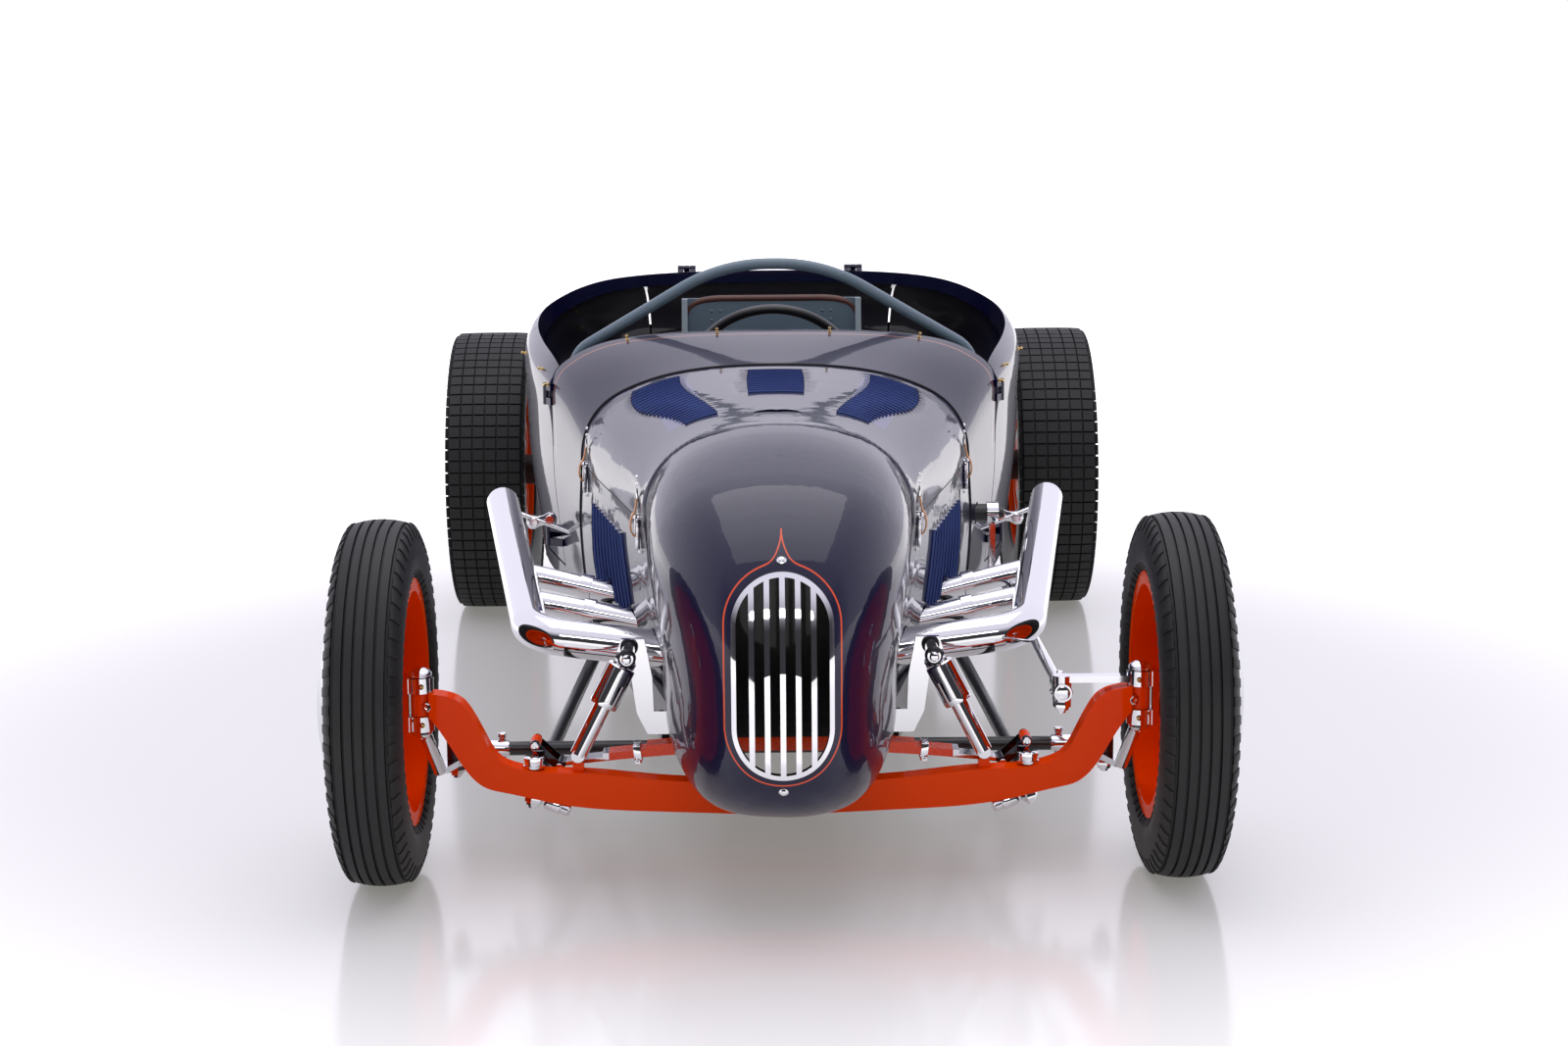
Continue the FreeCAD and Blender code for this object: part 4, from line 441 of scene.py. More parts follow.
for side_name, side in SIDES:
    wheel_x = side * FRONT_WHEEL_X
    tyre = turned(front_section, (wheel_x,) + FRONT_AXLE, (1, 0, 0), LUG_STEPS, closed=True)

    def is_lug(centre, normal, wheel_x=wheel_x):
        """Every second face round the shoulder, on its outer wall."""
        along = abs(centre.x - wheel_x)
        angle = math.atan2(centre.z - FRONT_AXLE[1], centre.y - FRONT_AXLE[0])
        step = int(math.floor(angle / (2 * math.pi) * LUG_STEPS + 0.25))
        return LUG_FROM < along < LUG_TO and normal.x * (centre.x - wheel_x) > 0 and step % 2 == 0

    select_faces(tyre, is_lug)
    bpy.ops.mesh.extrude_region_shrink_fatten(TRANSFORM_OT_shrink_fatten={"value": LUG_HEIGHT})
    bpy.ops.object.mode_set(mode="OBJECT")
    wheel = "wheel_front_" + side_name
    finish_piece(tyre, "ribbed_tyre_" + side_name, tyre_rubber, wheel, 28)
    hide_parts("tyre_front_" + side_name)


# Rear tyres: dirt-track rubber with a flat tread of square blocks in six columns, and
# taller blocks that wrap over each shoulder.
REAR_AXLE = (1.250, 0.370)
REAR_WHEEL_X = 0.7395
BLOCK_ROWS = 76
BLOCK_COLUMNS = 6
TREAD_HALF = 0.092
BLOCK_DEPTH = 0.008
BLOCK_GAP_HALF = 0.0019
BLOCK_RISE = BLOCK_DEPTH * 0.93
BLOCKS_FROM = 0.340
SHOULDER_DROP = 0.002
column = 2 * TREAD_HALF / BLOCK_COLUMNS
rear_tread = [(-TREAD_HALF + index * column,
               REAR_AXLE[1] - BLOCK_DEPTH - SHOULDER_DROP * (index / (BLOCK_COLUMNS / 2) - 1) ** 4)
              for index in range(BLOCK_COLUMNS + 1)]
rear_side = [(0.0960, 0.3520), (0.0975, 0.3350), (0.0990, 0.3150), (0.0995, 0.2900), (0.0975, 0.2650),
             (0.0930, 0.2450), (0.0860, 0.2290), (0.0770, 0.2230), (0.0735, 0.2140), (0.0735, 0.2046)]
rear_section = rear_tread + rear_side + [(-along, radius) for along, radius in reversed(rear_side)]


def is_tread(centre, normal):
    """Faces of the tread and shoulders, and not of the walls."""
    radius = math.hypot(centre.y - REAR_AXLE[0], centre.z - REAR_AXLE[1])
    return radius > BLOCKS_FROM and abs(normal.x) < 0.98


for side_name, side in SIDES:
    tyre = turned(rear_section, (side * REAR_WHEEL_X,) + REAR_AXLE, (1, 0, 0), BLOCK_ROWS, closed=True)
    select_faces(tyre, is_tread)
    bpy.ops.mesh.inset(thickness=BLOCK_GAP_HALF, use_individual=True)
    bpy.ops.mesh.extrude_region_shrink_fatten(TRANSFORM_OT_shrink_fatten={"value": BLOCK_RISE})
    bpy.ops.object.mode_set(mode="OBJECT")
    wheel = "wheel_rear_" + side_name
    finish_piece(tyre, "block_tyre_" + side_name, tyre_rubber, wheel, 28)
    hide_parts("tyre_rear_" + side_name)


# Wheels and front axle: pressed, welded and forged steel in orange enamel, sprayed and baked,
# which is deep in colour, glossy, and a little wavy.
ORANGE = "#f04400"
tree, place, finish_material = new_material("orange_enamel")
wave = add_node(tree, "ShaderNodeTexNoise", {"Vector": (place, "Object"), "Scale": 120.0, "Detail": 2.0})
peel = add_node(tree, "ShaderNodeBump", {"Height": (wave, 0), "Strength": 0.06, "Distance": 0.001})
orange_enamel = finish_material({
    "Base Color": colour(ORANGE), "Roughness": 0.42, "Specular IOR Level": 0.0, "Coat Weight": 0.22,
    "Coat Roughness": 0.04, "Coat Normal": (peel, 0)})
dress(orange_enamel, "front_axle", "wheel_front_left", "wheel_front_right", "wheel_rear_left",
      "wheel_rear_right")


# Bright parts: steering, pipes, shocks, grille and brackets of polished steel under chrome
# plate, a clear mirror with a faint haze where it was handled.
tree, place, finish_material = new_material("chrome_plate")
haze = add_node(tree, "ShaderNodeTexNoise", {"Vector": (place, "Object"), "Scale": 60.0, "Detail": 3.0})
rough = add_node(tree, "ShaderNodeMapRange", {"Value": (haze, 0), "To Min": 0.03, "To Max": 0.08})
chrome_plate = finish_material({"Base Color": colour("#e6e6ea"), "Metallic": 1.0, "Roughness": (rough, 0)})
dress(chrome_plate, "grille", "exhaust_left", "exhaust_right", "shocks", "nose_brackets", "knuckle_left",
      "knuckle_right", "drag_link", "pitman_arm")


# Front spring: orange leaves on a plated main leaf, whose bare ends reach out to dark steel
# shackles. One solid, so the finish changes along it.
PLATE_FROM = 0.3120
SHACKLE_FROM = 0.3900
tree, place, finish_material = new_material("leaf_spring_finish")
spring = worked_out(tree, place, (
    ("across", "ABSOLUTE", "x"),
    ("plated", "GREATER_THAN", "across", PLATE_FROM),
    ("shackle", "GREATER_THAN", "across", SHACKLE_FROM),
))
leaves = add_node(tree, "ShaderNodeMix", {0: spring["plated"], 6: colour(ORANGE), 7: colour("#dcdce0")},
                  data_type="RGBA")
shown = add_node(tree, "ShaderNodeMix", {0: spring["shackle"], 6: (leaves, 2), 7: colour("#3c3d42")},
                 data_type="RGBA")
wear = add_node(tree, "ShaderNodeTexNoise", {"Vector": (place, "Object"), "Scale": 90.0, "Detail": 3.0})
painted_rough = add_node(tree, "ShaderNodeMapRange", {"Value": (wear, 0), "To Min": 0.20, "To Max": 0.34})
plated_rough = add_node(tree, "ShaderNodeMapRange", {"Value": (wear, 0), "To Min": 0.05, "To Max": 0.12})
rough = add_node(tree, "ShaderNodeMix", {0: spring["plated"], 2: (painted_rough, 0), 3: (plated_rough, 0)},
                 data_type="FLOAT")
dress(finish_material({"Base Color": (shown, 2), "Metallic": spring["plated"], "Roughness": (rough, 0)}),
      "front_spring")


# Frame, rear axle and rods under the car: steel in satin black chassis paint, brushed on and
# a little dusty, so it is paler and duller in patches.
tree, place, finish_material = new_material("chassis_black")
dust, tone = mottled(tree, place, 22.0, 5.0, ("#0c0c0e", "#1b1b1e"))
rough = add_node(tree, "ShaderNodeMapRange", {"Value": (dust, 0), "To Min": 0.30, "To Max": 0.48})
chassis_black = finish_material({"Base Color": (tone, 0), "Roughness": (rough, 0), "Coat Weight": 0.3})
dress(chassis_black, "frame", "radiator", "floor", "radius_rods", "rear_axle", "rear_spring",
      "rear_radius_rods", "steering_box", "tie_rod", "engine", "gearbox", "steering_wheel")


# Discs: aluminium spun over a former and clear lacquered. Its fine turning rings, coarser here
# than the real ones so that they show, spread each highlight into a fan.
for axle_name, (axle_y, axle_z) in (("front", FRONT_AXLE), ("rear", REAR_AXLE)):
    tree, place, finish_material = new_material("spun_aluminium_" + axle_name)
    centred = add_node(tree, "ShaderNodeMapping",
                       {"Vector": (place, "Object"), "Location": (0, -axle_y, -axle_z)})
    split = add_node(tree, "ShaderNodeSeparateXYZ", {0: (centred, 0)})
    flat = add_node(tree, "ShaderNodeCombineXYZ", {"Y": (split, "Y"), "Z": (split, "Z")})
    reach = add_node(tree, "ShaderNodeVectorMath", {0: (flat, 0)}, operation="LENGTH")
    rings = add_node(tree, "ShaderNodeTexNoise", {"W": (reach, "Value"), "Scale": 900.0, "Detail": 2.0},
                     noise_dimensions="1D")
    lathe = add_node(tree, "ShaderNodeBump", {"Height": (rings, 0), "Strength": 0.12, "Distance": 0.0004})
    spun = finish_material({
        "Base Color": colour("#d7d8db"), "Metallic": 1.0, "Roughness": 0.24, "Normal": (lathe, 0)})
    dress(spun, "disc_%s_left" % axle_name, "disc_%s_right" % axle_name)


# Hoop, seat shell and dash: steel tube and aluminium sheet in satin grey-blue paint, sprayed
# with a slight orange peel.
tree, place, finish_material = new_material("grey_blue_paint")
wave = add_node(tree, "ShaderNodeTexNoise", {"Vector": (place, "Object"), "Scale": 150.0, "Detail": 2.0})
peel = add_node(tree, "ShaderNodeBump", {"Height": (wave, 0), "Strength": 0.08, "Distance": 0.001})
grey_blue_paint = finish_material({
    "Base Color": colour("#5d6f7c"), "Roughness": 0.38, "Coat Weight": 0.3, "Normal": (peel, 0)})
dress(grey_blue_paint, "hoop", "seat", "dash")


# Seat cushion: brown leather sewn over foam. It is blown up as cloth from the solid's own
# shape, so it crowns between its seams, and two sewn channels run back to front.
FOAM_SHARE = (0.975, 0.965, 0.72, 1)
WEAVE = 0.0065
FOAM_TRAVEL = 0.014
CHANNEL = 0.0055
SEAM_GAP = 0.0005


def copy_of(piece):
    """A copy of an object with its own mesh."""
    copy = piece.copy()
    copy.data = piece.data.copy()
    bpy.context.collection.objects.link(copy)
    return copy


# tanned leather: cells of grain about 2.6 mm across, coarser than real ones, and a mottled dye
tree, place, finish_material = new_material("brown_leather")
cells = add_node(tree, "ShaderNodeTexVoronoi", {"Vector": (place, "Object"), "Scale": 380.0})
grain = add_node(tree, "ShaderNodeBump", {"Height": (cells, 0), "Strength": 0.35, "Distance": 0.0006})
_, tone = mottled(tree, place, 18.0, 4.0, ("#3d231d", "#6a4136"))
brown_leather = finish_material({"Base Color": (tone, 0), "Roughness": 0.5, "Normal": (grain, 0)})
dress(brown_leather, "seat_cushion")
cushion_low, cushion_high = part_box("seat_cushion")
cushion = copy_of(nodes["seat_cushion"])
only(cushion)
middle = [(low + high) / 2 for low, high in zip(cushion_low, cushion_high)]
cushion.data.transform(Matrix.Translation(middle) @ Matrix.Diagonal(FOAM_SHARE)
                       @ Matrix.Translation([-value for value in middle]))
remesh = cushion.modifiers.new("even_mesh", "REMESH")
remesh.mode = "VOXEL"
remesh.voxel_size = WEAVE
bpy.ops.object.modifier_apply(modifier=remesh.name)
start_places = [vertex.co.copy() for vertex in cushion.data.vertices]
cloth = cushion.modifiers.new("foam", "CLOTH")
cloth.settings.use_pressure = True
cloth.settings.uniform_pressure_force = 4
cloth.settings.effector_weights.gravity = 0
for step in range(1, 21):
    bpy.context.scene.frame_set(step)
bpy.ops.object.modifier_apply(modifier=cloth.name)
bpy.context.scene.frame_set(1)
half_across = (cushion_high[0] - cushion_low[0]) / 2
for vertex, start in zip(cushion.data.vertices, start_places):
    moved = vertex.co - start
    if moved.length > FOAM_TRAVEL:
        moved *= FOAM_TRAVEL / moved.length
    spot = start + moved
    if spot.z > middle[2]:
        for seam in (-half_across / 3, half_across / 3):
            spot.z -= CHANNEL * math.exp(-((spot.x - seam) / CHANNEL) ** 2)
    vertex.co = [min(max(value, low + SEAM_GAP), high - SEAM_GAP)
                 for value, low, high in zip(spot, cushion_low, cushion_high)]
smooth = cushion.modifiers.new("soft_skin", "SUBSURF")
smooth.levels = 1
smooth.render_levels = 1
bpy.ops.object.modifier_apply(modifier=smooth.name)
finish_piece(cushion, "padded_cushion", brown_leather, "chassis", 60)
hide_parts("seat_cushion")


# Hood and nose skins: beaten aluminium panels on one fair sweep from the grille to the cowl.
# The solids stand too full at both sides of the nose seam, so each shown panel is its solid's
# mesh, merged and drawn in to an even sweep between its own two ends.
# SEAM_CROWN is the solids' height at the nose seam, and SEAM_RISE what the sweep adds to it.
NOSE_FROM = -1.480
NOSE_SEAM = -1.170
COWL_SEAM = -0.340
SPLIT_HEIGHT = 0.620
SPLIT_GAP = 0.004
SEAM_CROWN = 0.787
SEAM_RISE = 0.016
SEAM_SLOPE = 0.5
EDGE = 0.005
SPOKES = 24
SIDE_ROWS = (0.320, 0.355, 0.570, 0.600)
SCOOP_PLACE = -1.004
SCOOP_HALF = (0.055, 0.045)
END_MARGIN = 0.02
LIP_RIM = 0.0013


def evenly(first, last, count):
    """An even run of values."""
    return [first + (last - first) * index / (count - 1) for index in range(count)]


def spoke_reach(node, y, spoke):
    """Distance from the split line's middle out to the inside of a panel, along one of the spokes."""
    angle = math.pi / 2 * spoke / SPOKES
    heading = Vector((math.cos(angle), 0, math.sin(angle)))
    hub = Vector((0, y, SPLIT_HEIGHT + SPLIT_GAP))
    found, spot, _, _ = nodes[node].ray_cast(hub, heading)
    return heading.dot(spot - hub) if found else None


def side_reach(y, height):
    """Half width inside the left side panel at one height."""
    found, spot, _, _ = nodes["hood_side_left"].ray_cast(Vector((0, y, height)), Vector((1, 0, 0)))
    return spot.x if found else None


def filled(values):
    """Bridges the places where a ray went through an opening."""
    known = [index for index, value in enumerate(values) if value]
    full = []
    for index, value in enumerate(values):
        if not value:
            before = max([k for k in known if k < index], default=known[0])
            after = min([k for k in known if k > index], default=known[-1])
            share = (index - before) / (after - before) if after > before else 0
            value = values[before] + (values[after] - values[before]) * share
        full.append(value)
    return full


def eased(first, last, first_slope, last_slope, count):
    """A cubic run of values whose slopes at its ends are given per whole run."""
    run = []
    for share in evenly(0, 1, count):
        square = share * share
        cube = square * share
        run.append((2 * cube - 3 * square + 1) * first + (cube - 2 * square + share) * first_slope
                   + (3 * square - 2 * cube) * last + (cube - square) * last_slope)
    return run


def ratios(wanted, found):
    """How far each measured value has to be drawn in."""
    return [w / f for w, f in zip(wanted, found)]


def between_cells(table, down, across):
    """A value between the rows and places of a table."""
    down = min(max(down, 0), len(table) - 1.001)
    across = min(max(across, 0), len(table[0]) - 1.001)
    row, column = int(down), int(across)
    low = table[row][column] + (table[row][column + 1] - table[row][column]) * (across - column)
    high = table[row + 1][column] + (table[row + 1][column + 1] - table[row + 1][column]) * (across - column)
    return low + (high - low) * (down - row)


hood_places = evenly(NOSE_SEAM + EDGE, COWL_SEAM - EDGE, 61)
nose_places = evenly(NOSE_FROM, NOSE_SEAM - EDGE, 31)
hood_scale = []
nose_scale = []
for spoke in range(SPOKES + 1):
    rise = 1 + SEAM_RISE / (SEAM_CROWN - SPLIT_HEIGHT) * math.sin(math.pi / 2 * spoke / SPOKES) ** 2
    found = filled([spoke_reach("hood_top", y, spoke) for y in hood_places])
    hood_scale.append(ratios(evenly(found[0] * rise, found[-1], len(found)), found))
    hood_slope = (found[-1] - found[0] * rise) / (COWL_SEAM - NOSE_SEAM)
    found = filled([spoke_reach("nose", y, spoke) for y in nose_places])
    front_slope = (found[1] - found[0]) * (len(found) - 1)
    seam_slope = hood_slope * SEAM_SLOPE * (nose_places[-1] - nose_places[0])
    nose_scale.append(ratios(eased(found[0], found[-1] * rise, front_slope, seam_slope, len(found)), found))
side_scale = []
for height in SIDE_ROWS:
    found = filled([side_reach(y, height) for y in hood_places])
    side_scale.append(ratios(evenly(found[0], found[-1], len(found)), found))
side_scale.append(hood_scale[0])


def drawn_in(node, place):
    """Where a point of a panel comes to lie on the even sweep."""
    table, stations = (nose_scale, nose_places) if node == "nose" else (hood_scale, hood_places)
    across = (place.y - stations[0]) / (stations[1] - stations[0])
    if place.z > SPLIT_HEIGHT:
        turn = math.atan2(place.z - SPLIT_HEIGHT, abs(place.x))
        scale = between_cells(table, turn / (math.pi / 2) * SPOKES, across)
        return Vector((place.x * scale, place.y, SPLIT_HEIGHT + (place.z - SPLIT_HEIGHT) * scale))
    if node == "nose":
        return Vector((place.x * between_cells(table, 0, across), place.y, place.z))
    row = max([index for index, height in enumerate(SIDE_ROWS) if height <= place.z], default=0)
    heights = SIDE_ROWS + (SPLIT_HEIGHT,)
    share = (place.z - heights[row]) / (heights[row + 1] - heights[row])
    return Vector((place.x * between_cells(side_scale, row + max(share, 0), across), place.y, place.z))


def is_lip(centre, normal):
    """Faces that look forward on a louvre, and not in the scoop or at a panel's end."""
    in_scoop = abs(centre.x) < SCOOP_HALF[0] and abs(centre.y - SCOOP_PLACE) < SCOOP_HALF[1]
    within = NOSE_SEAM + END_MARGIN < centre.y < COWL_SEAM - END_MARGIN
    return -normal.y > 0.75 and within and not in_scoop


def faired(node):
    """A merged copy of a panel, drawn in to the even sweep, with its louvre lips in painted highlight inside
    a rim of painted shade.
    """
    piece = copy_of(nodes[node])
    for vertex in piece.data.vertices:
        if vertex.co.y >= NOSE_FROM:
            vertex.co = drawn_in(node, vertex.co)
    only(piece)
    bpy.ops.object.mode_set(mode="EDIT")
    bpy.ops.mesh.select_all(action="SELECT")
    bpy.ops.mesh.remove_doubles(threshold=0.00001)
    bpy.ops.mesh.select_all(action="DESELECT")
    bpy.ops.object.mode_set(mode="OBJECT")
    finish_piece(piece, node + "_skin", nodes[node].data.materials[0], "chassis", 24)
    if node != "nose":
        # painted shade on the rim round each lip, painted highlight on the lip inside it
        piece.data.materials.append(louvre_shut_line_painted_shade)
        piece.data.materials.append(louvre_lip_painted_highlight)
        select_faces(piece, is_lip)
        piece.active_material_index = 1
        bpy.ops.object.material_slot_assign()
        bpy.ops.mesh.inset(thickness=LIP_RIM)
        piece.active_material_index = 2
        bpy.ops.object.material_slot_assign()
        bpy.ops.object.mode_set(mode="OBJECT")
    weighted = piece.modifiers.new("even_normals", "WEIGHTED_NORMAL")
    weighted.mode = "FACE_AREA_WITH_ANGLE"
    weighted.keep_sharp = True
    bpy.ops.object.modifier_apply(modifier=weighted.name)
    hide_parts(node)
    return piece


skins = {node: faired(node) for node in ("nose", "hood_top", "hood_side_left", "hood_side_right")}


# Nose buttons: two domed quarter-turn fasteners of turned and plated brass, above and below
# the grille, which hold it in the nose.
BUTTON = [(0, 0), (0, 0.0078), (0.0012, 0.0080), (0.0022, 0.0066), (0.0034, 0.0058), (0.0048, 0.0040),
          (0.0054, 0)]
ORIGIN = (0, 0, 0)
UP = (0, 0, 1)
DOWN = (0, 0, -1)
FORWARD = (0, -1, 0)
BACKWARD = (0, 1, 0)


def joined(made):
    """Joins pieces into one object."""
    bpy.ops.object.select_all(action="DESELECT")
    for piece in made:
        piece.select_set(True)
    bpy.context.view_layer.objects.active = made[0]
    bpy.ops.object.join()
    return bpy.context.view_layer.objects.active


def copied(piece, frames):
    """Copies a piece to each frame, each copy with its own mesh, and joins them into one object."""
    made = [copy_of(piece) for _ in frames]
    for copy, frame_here in zip(made, frames):
        copy.data.transform(frame_here)
    bpy.data.objects.remove(piece)
    return joined(made)


def on_skin(node, start, heading, upward):
    """A frame where a line meets a panel: Z out of the skin, Y as near to upward as the skin allows."""
    found, spot, normal, _ = skins.get(node, nodes[node]).ray_cast(Vector(start), Vector(heading))
    if not found:
        raise RuntimeError("no skin of %s from %s" % (node, tuple(start)))
    across = Vector(upward).cross(normal).normalized()
    return Matrix.Translation(spot) @ Matrix((across, normal.cross(across), normal)).transposed().to_4x4()


button = copied(turned(BUTTON, ORIGIN, UP, 24),
                [on_skin("nose", (0, -2.2, z), BACKWARD, UP) for z in (0.6515, 0.2760)])
finish_piece(button, "nose_buttons", chrome_plate, "chassis")


# Cover studs: lacquered brass turn-posts on a round foot, screwed through the cowl, tub and
# doors, that hold the edge of a tonneau cover.
STUD = [(0, 0), (0, 0.0052), (0.0010, 0.0050), (0.0018, 0.0024), (0.0062, 0.0020), (0.0070, 0.0032),
        (0.0094, 0.0034), (0.0110, 0.0026), (0.0116, 0)]

# polished and lacquered brass: still bright, with a warm haze in patches
tree, place, finish_material = new_material("lacquered_brass")
haze, tone = mottled(tree, place, 300.0, 3.0, ("#a8864c", "#d8bd84"))
rough = add_node(tree, "ShaderNodeMapRange", {"Value": (haze, 0), "To Min": 0.14, "To Max": 0.30})
lacquered_brass = finish_material({"Base Color": (tone, 0), "Metallic": 1.0, "Roughness": (rough, 0)})


def cover_studs(name, body, frames):
    """One stud at each frame, as a piece of one body."""
    finish_piece(copied(turned(STUD, ORIGIN, UP, 14), frames), name, lacquered_brass, body)


stud_frames = [on_skin("cowl", (x, -0.056, 1.2), DOWN, BACKWARD) for x in (-0.322, -0.124, 0.124, 0.322)]
stud_frames += [on_skin("cowl", (side * 0.8, -0.054, 0.752), (-side, 0, 0), UP) for side in (1, -1)]
stud_frames += [on_skin("body_tub", (0, y, z), (-1, 0, 0), UP) for y, z in ((1.200, 0.80), (1.285, 0.75))]
cover_studs("cover_studs", "chassis", stud_frames)
for side_name, side in SIDES:
    door = "door_" + side_name
    stud_frames = [on_skin(door, (side * 0.9, y, 0.772), (-side, 0, 0), UP) for y in (0.075, 0.420)]
    cover_studs("door_studs_" + side_name, door, stud_frames)


# Hood straps: four sprung latches on the line between the hood's top and sides. Each has a
# tan leather strap over a chrome bow, and a chrome keeper that tapers down the side panel.
def drawn_plate(outline, depth, ease):
    """Draws a closed outline point by point, fills it, gives it depth and eases its edges."""
    corners = [Vector((x, y, 0)) for x, y in outline]
    piece = drawn_line(corners + corners[:1])
    bpy.ops.mesh.remove_doubles(threshold=0.00002)
    bpy.ops.mesh.edge_face_add()
    bpy.ops.mesh.extrude_region_move(TRANSFORM_OT_translate={"value": (0, 0, depth)})
    bpy.ops.mesh.select_all(action="SELECT")
    bpy.ops.mesh.normals_make_consistent(inside=False)
    bpy.ops.mesh.bevel(offset=ease, segments=2, affect="EDGES", clamp_overlap=True)
    bpy.ops.mesh.select_all(action="DESELECT")
    bpy.ops.object.mode_set(mode="OBJECT")
    return piece


# turns a band so that its width runs across, and its line runs along Y and up Z
LAID_ACROSS = Matrix(((0, 0, 1, 0), (1, 0, 0, 0), (0, 1, 0, 0), (0, 0, 0, 1)))


def band(line, thickness, width, ease):
    """A strip of even thickness, bent along a line of (along, up) points and laid across."""
    points = [Vector(point) for point in line]
    one_side = []
    other_side = []
    for index, point in enumerate(points):
        before = points[max(index - 1, 0)]
        after = points[min(index + 1, len(points) - 1)]
        run = (after - before).normalized()
        out = Vector((-run.y, run.x)) * thickness / 2
        one_side.append(tuple(point + out))
        other_side.append(tuple(point - out))
    piece = drawn_plate(one_side + other_side[::-1], width, ease)
    piece.data.transform(LAID_ACROSS @ Matrix.Translation((0, 0, -width / 2)))
    return piece


def bent_bar(points, radius):
    """A round bar along a smooth line, drawn as a path, given its thickness and made a mesh."""
    bpy.ops.object.select_all(action="DESELECT")
    bpy.ops.curve.primitive_nurbs_path_add(radius=1, location=(0, 0, 0))
    path = bpy.context.object
    path.data.splines.clear()
    spline = path.data.splines.new("NURBS")
    spline.points.add(len(points) - 1)
    for knot, spot in zip(spline.points, points):
        knot.co = tuple(spot) + (1,)
    spline.use_endpoint_u = True
    spline.order_u = 3
    spline.resolution_u = 6
    path.data.bevel_depth = radius
    path.data.bevel_resolution = 3
    path.data.use_fill_caps = True
    bpy.ops.object.convert(target="MESH")
    return bpy.context.object


# oiled tan leather: soft creases and a warm, uneven dye
tree, place, finish_material = new_material("tan_strap_leather")
hide, tone = mottled(tree, place, 160.0, 5.0, ("#a8622c", "#dda36a"))
creases = add_node(tree, "ShaderNodeBump", {"Height": (hide, 0), "Strength": 0.3, "Distance": 0.0006})
strap_leather = finish_material({"Base Color": (tone, 0), "Roughness": 0.42, "Normal": (creases, 0)})

# one latch, laid out with Y up the hood and Z out of it
keeper_half = [(0.005, -0.004), (0.0125, -0.018), (0.0105, -0.028), (0.0055, -0.044), (0.0028, -0.062)]
keeper = drawn_plate([(-x, y) for x, y in keeper_half] + keeper_half[::-1], 0.0085, 0.0026)
tongue = drawn_plate([(-0.0030, 0.028), (-0.0022, 0.054), (0.0022, 0.054), (0.0030, 0.028)], 0.0036, 0.0010)
bow_half = [(0.0135, 0.001, 0.0005), (0.0135, 0.001, 0.0075), (0.009, 0.001, 0.0098)]
bow = bent_bar([(-x, y, z) for x, y, z in bow_half] + bow_half[::-1], 0.0021)
ROUND_HEAD = [(0, 0), (0, 0.0034), (0.0016, 0.0034), (0.0034, 0.0022), (0.0040, 0)]
PIVOT_BALL = [(-0.0040, 0), (-0.0028, 0.0030), (0, 0.0042), (0.0028, 0.0030), (0.0040, 0)]
heads = [turned(ROUND_HEAD, (0, y, 0), UP, 14) for y in (0.074, 0.060, -0.067)]
balls = [turned(PIVOT_BALL, (x, 0.001, 0.0088), (1, 0, 0), 14) for x in (-0.0138, 0.0138)]
latch = joined([keeper, tongue, bow] + heads + balls)
strap_line = [(0.034, 0.0030), (0.020, 0.0048), (0.008, 0.0080), (0.001, 0.0132), (-0.008, 0.0158),
              (-0.018, 0.0168), (-0.028, 0.0152), (-0.035, 0.0115), (-0.037, 0.0070)]
strap = band(strap_line, 0.0028, 0.0120, 0.0008)
select_faces(strap, lambda centre, normal: centre.y > 0.018)
bpy.ops.transform.resize(value=(0.72, 1, 1))
bpy.ops.object.mode_set(mode="OBJECT")
latch_frames = [on_skin("hood_top", (side * 0.9, y, 0.628), (-side, 0, 0), UP)
                for side in (1, -1) for y in (-1.100, -0.418)]
finish_piece(copied(latch, latch_frames), "hood_latches", chrome_plate, "chassis", 40)
finish_piece(copied(strap, latch_frames), "hood_straps", strap_leather, "chassis", 40)


# Panel welts: black rubber bead in the joints between nose, hood and cowl, and a thin one
# along the line where the hood's top lifts off.
WELT_STEPS = 44
WELT_SWEEP = 118
WELT_HUB = 0.540
WELT_REACH = 1.2
WELT_LEAST = 0.15


def rubber(name, dark, light, roughness, specular):
    """Moulded black rubber: soft and dull, with a faint bloom."""
    tree, place, finish_material = new_material(name)
    _, tone = mottled(tree, place, 240.0, 3.0, (dark, light))
    return finish_material({"Base Color": (tone, 0), "Roughness": roughness, "Specular IOR Level": specular})


def arch_welt(node, y, radius, sunk):
    """A bead over the body at one place along it, from one sill over the crown to the other."""
    middle = Vector((0, y, WELT_HUB))
    points = []
    for step in range(-WELT_STEPS, WELT_STEPS + 1):
        angle = math.radians(90 - abs(step) / WELT_STEPS * WELT_SWEEP)
        out = Vector((math.cos(angle) * (1 if step > 0 else -1), 0, math.sin(angle)))
        found, spot, _, _ = skins.get(node, nodes[node]).ray_cast(middle + out * WELT_REACH, -out)
        if found and (spot - middle).dot(out) > WELT_LEAST:
            points.append(spot - out * sunk)
    return bent_bar(points, radius)


def split_welt(side):
    """A bead along the line between the hood's top and one side."""
    points = []
    for y in evenly(NOSE_SEAM + 0.004, COWL_SEAM - 0.006, 41):
        start = (side * 0.9, y, SPLIT_HEIGHT + SPLIT_GAP)
        spot = on_skin("hood_top", start, (-side, 0, 0), UP).translation
        points.append((spot.x - side * 0.0006, y, SPLIT_HEIGHT))
    return bent_bar(points, 0.0014)


welt_rubber = rubber("welt_rubber", "#060607", "#0f0f11", 0.6, 0.2)
welts = [arch_welt("cowl", COWL_SEAM + 0.0035, 0.0042, 0.0012),
         arch_welt("nose", NOSE_SEAM - 0.0022, 0.0019, 0.0008), split_welt(1), split_welt(-1)]
finish_piece(joined(welts), "hood_welts", welt_rubber, "chassis", 50)


